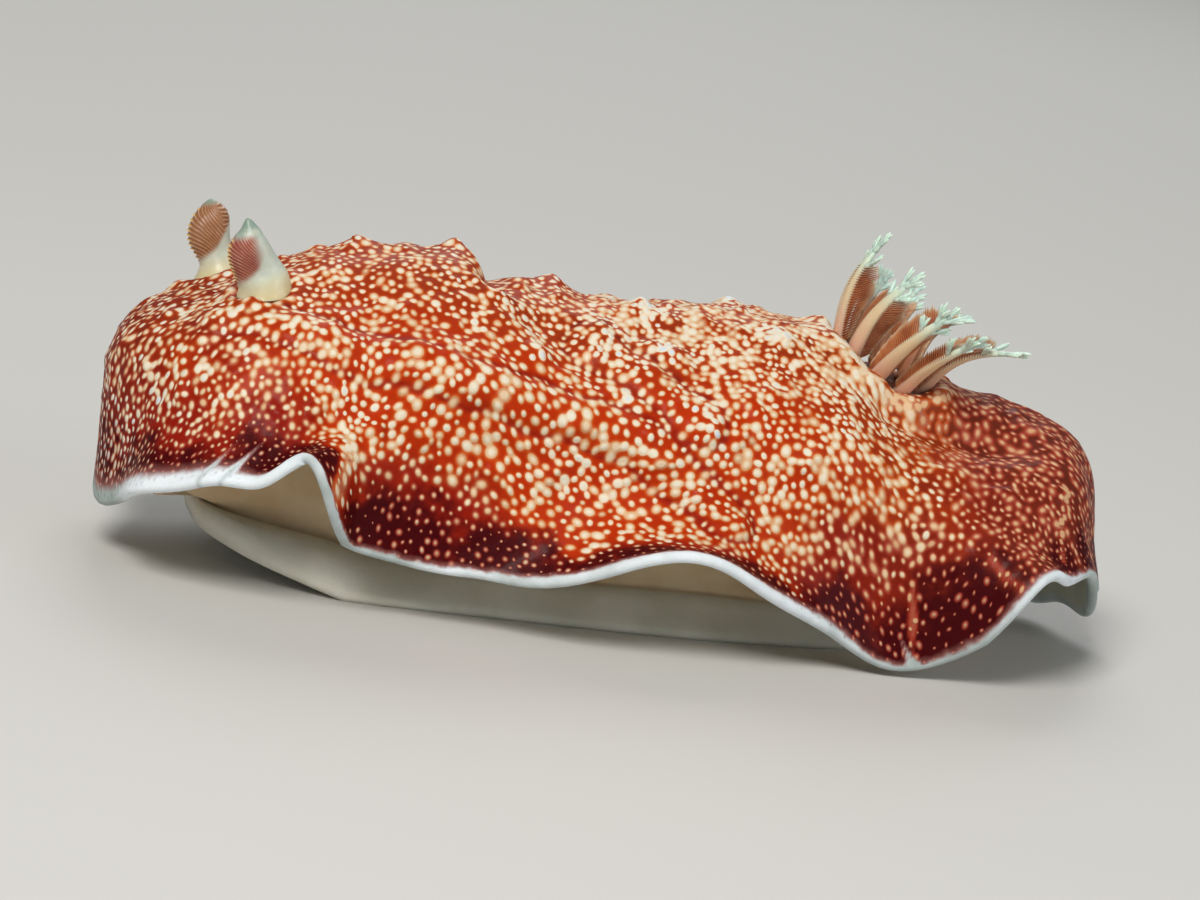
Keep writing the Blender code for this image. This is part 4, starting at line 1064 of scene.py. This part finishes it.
def pale_share(x, y):
    """How far the spots merge into a pale sheet at flat points, on streaks, ridges and warts."""
    streak = streak_share(x, y)
    patchy = np.clip(RIDGE_LEVEL + wavy(x, y, *RIDGE_CLOUDS), 0.0, 1.0)
    pale = streak
    for line, tall, half_width in FOLD_SIZES:
        if tall > 0.0:
            near = ridge(x, y, line, PALE_REACH * half_width * MM)
            pale = np.maximum(pale, RIDGE_PALE * patchy * near)
    for place_x, place_y, _ in TUBERCLES:
        near = mound(x, y, place_x, place_y, PALE_REACH * TUBERCLE_RADIUS)
        pale = np.maximum(pale, TUBERCLE_PALE * near)
    ring = np.abs(np.hypot(x - GILL_X, y) - GILL_POCKET[0]) / RING_WIDTH
    pale = np.maximum(pale, RING_PALE * np.exp(-ring**2))
    cloud = np.clip(wavy(x, y, *PALE_CLOUDS) - CLOUD_LEVEL, 0.0, 1.0) * CLOUD_PALE
    return np.maximum(np.clip(np.maximum(pale, cloud), 0.0, 1.0), STREAK_PALE * streak)


def brown_share(x, y):
    """How brown the net is at flat points: red on the head and flank, browner on the back."""
    back = summed(falling, np.abs(y), BROWN_BACK)
    brown = back + summed(rising, x, BROWN_REAR) + wavy(x, y, *BROWN_CLOUDS)
    return np.clip(brown, 0.0, 1.0)


class Shader:
    """Builds a material's nodes, with numbers and colours given or linked by name."""

    def __init__(self, name):
        self.material = bpy.data.materials.new(name)
        self.material.use_nodes = True
        self.tree = self.material.node_tree
        self.surface = self.tree.nodes["Principled BSDF"]

    def node(self, kind, inputs=(), output=0, **settings):
        made = self.tree.nodes.new(kind)
        for name, value in settings.items():
            setattr(made, name, value)
        for socket, value in dict(inputs).items():
            self.put(made.inputs[socket], value)
        return made.outputs[output]

    def put(self, socket, value):
        if isinstance(value, bpy.types.NodeSocket):
            self.tree.links.new(value, socket)
        else:
            socket.default_value = value

    def math(self, operation, *values):
        return self.node("ShaderNodeMath", enumerate(values), operation=operation)

    def mix(self, share, first, second):
        inputs = {0: share, 6: first, 7: second}
        return self.node("ShaderNodeMix", inputs, output=2, data_type="RGBA")

    def ramp(self, value, low, high, start=0.0, end=1.0):
        inputs = {0: value, 1: low, 2: high, 3: start, 4: end}
        return self.node("ShaderNodeMapRange", inputs, interpolation_type="SMOOTHSTEP")

    def attribute(self, name, output="Fac"):
        return self.node("ShaderNodeAttribute", output=output, attribute_name=name)

    def noise(self, scale, detail=2.0, output="Fac"):
        place = self.node("ShaderNodeTexCoord", output="Object")
        inputs = {"Vector": place, "Scale": scale, "Detail": detail}
        return self.node("ShaderNodeTexNoise", inputs, output=output)

    def rough(self, value, scale, amount):
        noise_off = self.math("SUBTRACT", self.noise(scale, 3.0), 0.5)
        return self.math("MULTIPLY_ADD", noise_off, amount, value)

    def bump(self, strength, distance, height):
        inputs = {"Strength": strength, "Distance": distance, "Height": height}
        return self.node("ShaderNodeBump", inputs)

    def soften(self, weight, radius, scale):
        self.surface.inputs["Subsurface Weight"].default_value = weight
        self.surface.inputs["Subsurface Radius"].default_value = radius
        self.surface.inputs["Subsurface Scale"].default_value = scale

    def finish(self, **inputs):
        for name, value in inputs.items():
            self.put(self.surface.inputs[name.replace("_", " ")], value)
        return self.material


def skin_material():
    """Cream spots in a red net, maroon patches and a white margin, wet and a little see-through."""
    s = Shader("skin")
    pull = 0.0
    whiteness = 0.0
    for name in SPOT_LAYERS:
        place = s.node("ShaderNodeSeparateXYZ", {0: s.attribute(name, "Vector")}).node.outputs
        square = s.math("MULTIPLY_ADD", place[0], place[0], s.math("MULTIPLY", place[1], place[1]))
        one = s.math("EXPONENT", s.math("MULTIPLY", square, -2.0))
        pull = s.math("ADD", one, pull)
        whiteness = s.math("MULTIPLY_ADD", one, place[2], whiteness)
    white = s.math("DIVIDE", whiteness, s.math("MAXIMUM", pull, 0.001))
    ragged = s.math("MULTIPLY", s.math("SUBTRACT", s.noise(3200.0, 3.0), 0.5), 0.55)
    pale = s.attribute("pale")
    pull = s.math("MULTIPLY", pull, s.math("MULTIPLY_ADD", pale, 1.4, 1.0))
    pull = s.math("MULTIPLY_ADD", s.math("MULTIPLY", pale, pale), 0.13, pull)
    pull = s.math("ADD", pull, s.math("MULTIPLY", ragged, s.math("MINIMUM", pull, 1.0)))
    # No spots in the painted shade of the gills' pocket
    pull = s.math("MULTIPLY", pull, s.math("SUBTRACT", 1.0, s.attribute("pocket_shade")))
    maroon = s.attribute("maroon")
    deep = s.math("MAXIMUM", s.attribute("deep"), maroon)
    halo = s.ramp(pull, 0.01, 0.22, 0.0, 0.8)
    spot = s.ramp(pull, 0.16, s.math("MULTIPLY_ADD", deep, 0.26, 0.37))
    # Each spot whitens towards its middle: partly the spot's own pale centre, partly a painted
    # highlight on its raised middle
    core_and_highlight = s.ramp(pull, 0.35, 1.0)
    white = s.math("MULTIPLY_ADD", core_and_highlight, 0.50, white)
    spot_colour = s.mix(s.ramp(white, 0.0, 0.75), SPOT_FAINT, SPOT_CREAM)
    spot_colour = s.mix(s.ramp(white, 0.55, 1.25), spot_colour, SPOT_WHITE)
    # The whitest spots turn bluish white: partly their own colour, partly a painted highlight
    spot_colour = s.mix(s.ramp(white, 1.3, 1.8), spot_colour, SPOT_BLUISH_AND_HIGHLIGHT)
    spot_colour = s.mix(s.ramp(maroon, 0.3, 1.0, 0.0, 0.3), spot_colour, SPOT_PINK)

    brown = s.attribute("brown")
    net = s.mix(brown, NET_RED, NET_BROWN)
    net_deep = s.mix(brown, DEEP_RED, DEEP_BROWN)
    net = s.mix(s.ramp(s.noise(420.0, 4.0), 0.35, 0.75, 0.0, 0.30), net, net_deep)
    grain = s.math("SUBTRACT", s.noise(900.0, 3.0), 0.5)
    net = s.mix(s.ramp(s.math("MULTIPLY_ADD", grain, 0.9, deep), 0.1, 1.0), net, net_deep)
    net = s.mix(s.ramp(s.math("MULTIPLY_ADD", grain, 0.9, maroon), 0.25, 0.95), net, MAROON)
    # Painted shade: the floor of the gills' pocket turns dark brown
    net = s.mix(s.attribute("pocket_shade"), net, POCKET_SHADE)
    halo_colour = s.mix(s.ramp(deep, 0.2, 0.9), HALO_ORANGE, HALO_DEEP)
    colour = s.mix(halo, net, halo_colour)
    colour = s.mix(spot, colour, spot_colour)

    rim = s.attribute("rim")
    share = s.math("DIVIDE", s.rough(rim, 1100.0, 0.5), s.attribute("margin"))
    clear = s.rough(s.attribute("clear"), 700.0, 0.7)
    margin = s.mix(s.ramp(clear, 0.0, 1.0), MARGIN_WHITE, MARGIN_CLEAR)
    colour = s.mix(s.ramp(share, 1.8, 1.0, 0.0, 0.6), colour, MARGIN_PINK)
    colour = s.mix(s.ramp(share, 1.3, 0.7), colour, margin)

    zone = s.attribute("zone")
    blotch = s.ramp(s.noise(240.0, 4.0), 0.3, 0.7)
    under = s.mix(blotch, UNDER_GREY, UNDER_PALE)
    under = s.mix(s.ramp(rim, 0.6, 0.05), under, margin)
    body = s.mix(blotch, BODY_TAN, BODY_PALE)
    foot = s.mix(blotch, FOOT_GREY, FOOT_PALE)
    lower = s.mix(s.ramp(zone, 1.2, 2.2), under, body)
    lower = s.mix(s.ramp(zone, 2.2, 3.0), lower, foot)
    colour = s.mix(s.ramp(zone, 0.3, 0.9), colour, lower)

    dome = s.math("MINIMUM", pull, 1.0)
    grain = s.math("MULTIPLY", s.noise(5200.0, 3.0), 0.25)
    height = s.math("ADD", s.math("MULTIPLY", dome, 0.6), grain)
    bump = s.bump(0.9, 0.12 * MM, height)
    roughness = s.ramp(s.noise(1500.0, 2.0), 0.3, 0.7, 0.36, 0.55)
    s.soften(0.08, (1.0, 0.45, 0.3), 0.5 * MM)
    s.surface.inputs["Specular IOR Level"].default_value = 0.05
    s.surface.inputs["Coat Weight"].default_value = 0.03
    s.surface.inputs["Coat Roughness"].default_value = 0.1
    return s.finish(Base_Color=colour, Roughness=roughness, Normal=bump)


class Parts:
    """Closed tubes gathered into one mesh, with numbers for every vertex."""

    def __init__(self):
        self.places = []
        self.faces = []
        self.numbers = {}
        self.count = 0

    def tube(self, rings, **numbers):
        """Add a closed tube of rings, given as rows of points, with numbers for each ring."""
        rings = np.asarray(rings)
        rows, sides, _ = rings.shape
        ends = [rings[0].mean(axis=0), rings[-1].mean(axis=0)]
        self.places.append(np.concatenate([rings.reshape(-1, 3), ends]))
        ids = np.arange(rows * sides).reshape(rows, sides) + self.count
        after = np.roll(ids, -1, axis=1)
        quads = np.stack([ids[:-1], after[:-1], after[1:], ids[1:]], axis=-1).reshape(-1, 4)
        self.faces += quads.tolist()
        first, last = self.count + rows * sides, self.count + rows * sides + 1
        self.faces += [(int(two), int(one), first) for one, two in zip(ids[0], after[0])]
        self.faces += [(int(one), int(two), last) for one, two in zip(ids[-1], after[-1])]
        for name, values in numbers.items():
            values = np.asarray(values, dtype=float)
            if values.ndim == 1:
                values = np.repeat(values[:, None], sides, axis=1)
            values = np.broadcast_to(values, (rows, sides))
            flat = np.concatenate([values.ravel(), [values[0].mean(), values[-1].mean()]])
            self.numbers.setdefault(name, []).append(flat)
        self.count += rows * sides + 2

    def finish(self, name, material):
        mesh = bpy.data.meshes.new(name)
        mesh.from_pydata(np.concatenate(self.places).tolist(), [], self.faces)
        mesh.shade_smooth()
        for layer, values in self.numbers.items():
            point_layer(mesh, layer, np.concatenate(values))
        mesh.materials.append(material)
        return linked(name, mesh)


def linked(name, data):
    """New object in the scene."""
    made = bpy.data.objects.new(name, data)
    bpy.context.scene.collection.objects.link(made)
    return made


def rhinophore_axes(side, lean):
    """Directions up a leaning rhinophore, backwards and across it."""
    forward = math.radians(lean)
    spread = math.radians(RHINOPHORE_SPREAD)
    axis = unit(np.array([-math.sin(forward), side * math.sin(spread), math.cos(forward)]))
    back = unit(np.cross(np.array([0.0, 1.0, 0.0]), axis))
    return axis, back, np.cross(axis, back)


def make_rhinophore(side, name, foot_x, foot_y, lean, material):
    """A club on a wide stalk, with thin slanting leaflets down its front."""
    axis, back, across = rhinophore_axes(side, lean)
    share, turn = np.meshgrid(
        np.linspace(0.0, 1.0, CLUB_RINGS), np.linspace(0.0, 2 * math.pi, CLUB_SIDES, endpoint=False),
        indexing="ij",
    )
    front = -np.cos(turn)
    reach_front, reach_side, reach_back = (
        curve_through(tuple(zip(CLUB_SHARES[name], reaches)), share * MM) for reaches in CLUBS[name]
    )
    reach_end = np.where(front > 0.0, reach_front, reach_back)
    radius = between(reach_side, reach_end, front**2)
    slope = LAMELLA_SLANT * np.clip(front, -0.5, 1.0)
    waves_round, waves_up = LAMELLA_TWIST
    pitch = (LAMELLA_ENDS[name] - LAMELLA_START) / LAMELLAE
    phase = (share - slope - LAMELLA_START) / pitch
    twist = np.sin(waves_round * turn + waves_up * share)
    phase = phase + LAMELLA_WAVE * twist * np.clip(1.0 - front, 0.0, 1.0)
    crest = (0.5 + 0.5 * np.cos(2 * math.pi * phase)) ** LAMELLA_CREST
    lowest = COMB_LOWEST - np.where(front > 0.0, COMB_LOWER_FRONT, COMB_HIGHER_BACK) * front
    comb = eased((share - lowest + COMB_START[0]) / COMB_START[1])
    comb = comb * eased((LAMELLA_ENDS[name] - share) / COMB_TOP_BLEND)
    inner = np.clip(-side * np.sin(turn), 0.0, 1.0)
    comb = comb * eased((front + LAMELLA_REACHES[name] + COMB_INNER * inner) / COMB_ROUND_BLEND)
    bead = eased((front - BEAD_START) / BEAD_WIDTH)
    lifted = LAMELLA_HEIGHT * (crest - LAMELLA_MIDDLE) * between(BEAD_LEAST, 1.0, bead)
    radius = radius + comb * lifted
    around = back * (np.cos(turn) * radius)[..., None] + across * (np.sin(turn) * radius)[..., None]
    foot_x, foot_y = np.full_like(share, foot_x * MM), np.full_like(share, foot_y * MM)
    root = mantle_top(foot_x, foot_y)
    point = root + axis * (share * RHINOPHORE_LENGTH)[..., None] + around
    point = point + back * (RHINOPHORE_BOW * share**2)[..., None]
    wide_x, wide_y = RHINOPHORE_FOOT * np.cos(turn), RHINOPHORE_FOOT * np.sin(turn)
    seat = mantle_top(foot_x + wide_x, foot_y + wide_y)
    risen = eased(share / STALK_SHARE)[..., None]
    parts = Parts()
    ochre = np.full_like(share, 1.0 if side > 0 else 0.0)
    parts.tube(
        seat + (point - seat) * risen, comb=comb, crest=crest, bead=bead * comb, height=share,
        ochre=ochre,
    )
    piece = parts.finish(name + "_club", material)
    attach(piece, "root")
    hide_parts(name)


def rhinophore_material():
    """Brick red faces between thin pale leaflet edges, and a pale see-through stalk and tip."""
    s = Shader("rhinophore")
    height = s.attribute("height")
    stalk = s.mix(s.ramp(height, 0.05, 0.35), STALK_YELLOW, STALK_PALE)
    stalk = s.mix(s.ramp(height, 0.70, 0.95), stalk, STALK_TIP)
    stalk = s.mix(s.ramp(s.noise(1800.0, 3.0), 0.45, 0.75, 0.0, 0.35), stalk, SPOT_WHITE)
    face = s.mix(s.ramp(s.noise(1200.0, 2.0), 0.3, 0.7), LAMELLA_RED, LAMELLA_BROWN)
    face = s.mix(s.math("MULTIPLY", s.attribute("ochre"), 0.85), face, LAMELLA_OCHRE)
    broken = s.rough(s.attribute("crest"), 2200.0, 0.9)
    edged = s.mix(s.ramp(broken, 0.35, 1.0, 0.0, 0.85), face, LAMELLA_EDGE)
    edged = s.mix(s.math("MULTIPLY", s.attribute("bead"), s.attribute("crest")), edged, BEAD_YELLOW)
    colour = s.mix(s.attribute("comb"), stalk, edged)
    bump = s.bump(0.3, 0.04 * MM, s.noise(4200.0, 3.0))
    s.soften(0.3, (1.0, 0.8, 0.6), 0.5 * MM)
    return s.finish(Base_Color=colour, Roughness=0.38, Normal=bump)


def gill_turn(index):
    """Direction of a gill's root from the middle of the ring, as an angle."""
    return math.radians(180.0 + (index - (GILLS - 1) / 2) * GILL_SPREAD)


def gill_axis(index, shares):
    """Points up the rachis of one gill, and its directions, which bend over to the rear."""
    turn = gill_turn(index)
    out = np.array([math.cos(turn), math.sin(turn), 0.0])
    from_front = abs(index - (GILLS - 1) // 2)
    lift = math.radians(GILL_LIFTS[from_front])
    flare = GILL_FLARES[from_front] * math.copysign(1.0, out[1])
    end = np.array([math.cos(lift), flare, math.sin(lift)])
    length = GILL_LENGTH * (1.0 + GILL_LENGTH_VARIATION * math.sin(2.4 * index))
    x = np.array([GILL_X + GILL_RING * out[0]])
    y = np.array([GILL_RING * out[1]])
    points = [mantle_top(x, y)[0]]
    start = drape_with_normal(x, y)[1][0] + GILL_OUTWARD * out
    directions = [unit(start)]
    for before, after in zip(shares[:-1], shares[1:]):
        way = unit(start + (end - start) * eased((after - GILL_UPRIGHT) / (1.0 - GILL_UPRIGHT)))
        points.append(points[-1] + way * length * (after - before))
        directions.append(way)
    return np.array(points), np.array(directions)


def gill_frame(index, share, shares, points, directions):
    """Place up a gill, with its directions up, sideways and inwards."""
    turn = gill_turn(index)
    root = np.array([np.interp(share, shares, points[:, axis]) for axis in range(3)])
    way = unit(np.array([np.interp(share, shares, directions[:, axis]) for axis in range(3)]))
    inward = unit(np.cross(way, np.array([-math.sin(turn), math.cos(turn), 0.0])))
    return root, way, unit(np.cross(inward, way)), inward


def size_at(points, share):
    """Size of a rachis at one share of the way up it."""
    return curve_through(points, np.array([share * MM]))[0]


def distance_to_axis(place, points):
    """Distance from a point to a line of points."""
    starts = points[:-1]
    spans = points[1:] - starts
    shares = np.clip(((place - starts) * spans).sum(axis=1) / (spans**2).sum(axis=1), 0.0, 1.0)
    return float(np.linalg.norm(place - starts - shares[:, None] * spans, axis=1).min())


def clear_length(root, out, length, axes, index):
    """Longest length of a leaflet that stays nearer to its own gill than to any other."""
    others = [points[::6] for other, points in enumerate(axes) if other != index]
    reach = 0.0
    while reach < length:
        place = root + out * (reach + LEAFLET_STEP)
        nearest = min(distance_to_axis(place, points) for points in others)
        if nearest - distance_to_axis(place, axes[index][::6]) < 2 * LEAFLET_CLEARANCE:
            break
        reach += LEAFLET_STEP
    return reach


def blade(parts, root, out, bend, flat, length, width, thickness, sides, shares, **numbers):
    """Add a thin tapering blade or finger that starts at root and bends as it goes."""
    angles = np.linspace(0.0, 2 * math.pi, sides, endpoint=False)
    rings = []
    for share in shares:
        way = unit(out + bend * share)
        middle = root + (out + bend * share * 0.5) * length * share
        edge = unit(np.cross(way, flat))
        slim = math.sqrt(max(1.0 - share**3, 0.0)) * 0.9 + 0.1
        wide, thick = edge * (width / 2 * slim), flat * (thickness / 2 * slim)
        rings.append([middle + wide * math.cos(t) + thick * math.sin(t) for t in angles])
    parts.tube(rings, **numbers)


def make_gill(index, axes, directions, shares, material):
    """One gill: a broad smooth rachis, thin leaflets on its inner side, and forked fingers."""
    generator = np.random.default_rng(SEED + index)
    parts = Parts()
    points, ways = axes[index], directions[index]
    turns = np.linspace(0.0, 2 * math.pi, GILL_SIDES, endpoint=False)
    rings = []
    for share in shares:
        root, way, aside, inward = gill_frame(index, share, shares, points, ways)
        wide, deep = size_at(RACHIS_WIDTH, share), size_at(RACHIS_DEPTH, share)
        rings.append([root + aside * wide * math.cos(t) + inward * deep * math.sin(t) for t in turns])
    inner = np.broadcast_to(eased((np.sin(turns) - 0.1) / 0.6), (len(shares), GILL_SIDES))
    parts.tube(rings, up=shares, inner=inner * 0.8, edge=0.0)
    steps = np.linspace(0.0, 1.0, LEAFLET_RINGS)
    for pair in range(LEAFLET_PAIRS):
        share = between(*LEAFLET_SHARES, pair / (LEAFLET_PAIRS - 1))
        root, way, aside, inward = gill_frame(index, share, shares, points, ways)
        tall = math.sin(math.pi * (0.18 + 0.98 * share)) ** 0.6
        for hand in (-1, 1):
            out = unit(aside * hand + inward * LEAFLET_INWARD + way * LEAFLET_UPWARD)
            start = root + aside * hand * 0.5 * size_at(RACHIS_WIDTH, share)
            length = clear_length(start, out, LEAFLET_LENGTH * tall, axes, index)
            length *= generator.uniform(0.88, 1.0)
            if length < LEAFLET_SHORTEST:
                continue
            flat = unit(np.cross(np.cross(out, way), out))
            blade(
                parts, start, out, way * LEAFLET_CURL, flat, length, LEAFLET_WIDTH * 2.0,
                LEAFLET_THICKNESS, 8, steps, up=np.full(LEAFLET_RINGS, share), inner=1.0, edge=steps,
            )
    steps = np.linspace(0.0, 1.0, FINGER_RINGS)
    for share, turn, inwards, length in FINGERS:
        root, way, aside, inward = gill_frame(index, share, shares, points, ways)
        out = unit(way + aside * turn + inward * inwards)
        length = length * MM * generator.uniform(0.8, 1.1)
        flat = unit(np.cross(out, aside))
        up = between(share, 1.25, steps)
        blade(
            parts, root, out, way * 0.25, flat, length, 2 * FINGER_RADIUS, 2 * FINGER_RADIUS, 10,
            steps, up=up, inner=0.0, edge=0.0,
        )
        middle = root + (out + way * 0.125 * FINGER_FORK) * length * FINGER_FORK
        for hand in (-1, 1):
            spread = aside * hand * generator.uniform(0.25, 0.6)
            fork = unit(out + spread + inward * generator.uniform(-0.3, 0.3))
            blade(
                parts, middle, fork, way * 0.3, unit(np.cross(fork, aside)),
                length * generator.uniform(0.45, 0.62), 1.6 * FINGER_RADIUS, 1.6 * FINGER_RADIUS, 8,
                steps, up=np.full(FINGER_RINGS, 1.15), inner=0.0, edge=0.0,
            )
    piece = parts.finish(f"gill_plume_{index + 1}", material)
    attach(piece, "root")
    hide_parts(f"gill_{index + 1}")


def gill_material():
    """Pinkish rachis, red-brown leaflets and pale greenish-white fingers."""
    s = Shader("gill")
    up = s.attribute("up")
    rachis = s.mix(s.ramp(up, 0.05, 0.55), RACHIS_PINK, RACHIS_SAND)
    rachis = s.mix(s.ramp(up, 0.55, 0.95), rachis, FINGER_AQUA)
    leaf = s.mix(s.ramp(s.noise(900.0, 3.0), 0.3, 0.7), LEAFLET_BROWN, LEAFLET_RUST)
    leaf = s.mix(s.ramp(s.attribute("edge"), 0.6, 1.0, 0.0, 0.5), leaf, RACHIS_SAND)
    leaf = s.mix(s.ramp(up, 0.6, 0.95, 0.0, 0.8), leaf, FINGER_AQUA)
    colour = s.mix(s.attribute("inner"), rachis, leaf)
    bump = s.bump(0.3, 0.04 * MM, s.noise(5200.0, 3.0))
    s.soften(0.35, (1.0, 0.7, 0.5), 0.4 * MM)
    return s.finish(Base_Color=colour, Roughness=0.35, Normal=bump)


def make_gills():
    """The ring of gills."""
    material = gill_material()
    shares = np.linspace(0.0, 1.0, GILL_RINGS)
    found = [gill_axis(index, shares) for index in range(GILLS)]
    axes = [points for points, _ in found]
    directions = [ways for _, ways in found]
    for index in range(GILLS):
        make_gill(index, axes, directions, shares, material)


def make_skin():
    """The skin of mantle, body, head and foot as one piece."""
    mesh = skin_mesh()
    mesh.materials.append(skin_material())
    return linked("skin", mesh)


def make_floor():
    """A plain pale floor."""
    mesh = bpy.data.meshes.new("floor")
    size = 3.0
    corners = [(-size, -size, 0), (size, -size, 0), (size, size, 0), (-size, size, 0)]
    mesh.from_pydata(corners, [], [(0, 1, 2, 3)])
    floor = linked("floor", mesh)
    s = Shader("floor")
    mesh.materials.append(s.finish(Base_Color=(0.62, 0.61, 0.58, 1.0), Roughness=0.7))


def make_light(name, place, size, power, colour):
    """A soft square light that faces the animal."""
    data = bpy.data.lights.new(name, "AREA")
    data.size = size
    data.energy = power
    data.color = colour
    light = linked(name, data)
    light.location = place
    light.rotation_mode = "QUATERNION"
    light.rotation_quaternion = (Vector(CAMERA_TARGET) - Vector(place)).to_track_quat("-Z", "Y")


def make_lights():
    """Soft studio light: a key from the front left above, a fill, and a pale surround."""
    make_light("key", (-0.22, -0.34, 0.42), 0.20, 2.7, (1.0, 0.97, 0.93))
    make_light("fill", (0.42, -0.30, 0.22), 0.35, 0.8, (0.93, 0.97, 1.0))
    make_light("back", (0.10, 0.45, 0.40), 0.30, 1.0, (1.0, 1.0, 1.0))
    world = bpy.data.worlds.new("studio")
    world.use_nodes = True
    world.node_tree.nodes["Background"].inputs["Color"].default_value = (0.80, 0.84, 0.86, 1.0)
    world.node_tree.nodes["Background"].inputs["Strength"].default_value = 0.24
    bpy.context.scene.world = world
    bpy.context.scene.view_settings.view_transform = "Standard"


def make_camera():
    """The photograph's camera, rolled as the animal's slope in the photograph asks."""
    azimuth, elevation, roll = (
        math.radians(angle) for angle in (CAMERA_AZIMUTH, CAMERA_ELEVATION, CAMERA_ROLL)
    )
    back = Vector((
        math.sin(azimuth) * math.cos(elevation), -math.cos(azimuth) * math.cos(elevation),
        math.sin(elevation),
    ))
    right = Vector((math.cos(azimuth), math.sin(azimuth), 0.0))
    up = back.cross(right)
    rolled_right = right * math.cos(roll) + up * math.sin(roll)
    rolled_up = up * math.cos(roll) - right * math.sin(roll)
    data = bpy.data.cameras.new("camera")
    data.lens = CAMERA_LENS
    data.sensor_width = 36.0
    data.clip_start = 0.01
    camera = linked("camera", data)
    camera.matrix_world = Matrix.Translation(
        Vector(CAMERA_TARGET) + back * CAMERA_DISTANCE
    ) @ Matrix((rolled_right, rolled_up, back)).transposed().to_4x4()
    bpy.context.scene.camera = camera


def main():
    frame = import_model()
    skin = make_skin()
    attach(skin, "root")
    flesh = [name for name in frame["nodes"] if not name.startswith(("gill_", "rhinophore_"))]
    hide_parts(*flesh)
    club = rhinophore_material()
    for side, name, foot_x, foot_y, lean in RHINOPHORES:
        make_rhinophore(side, name, foot_x, foot_y, lean, club)
    make_gills()
    make_floor()
    make_lights()
    make_camera()
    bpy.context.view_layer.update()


main()
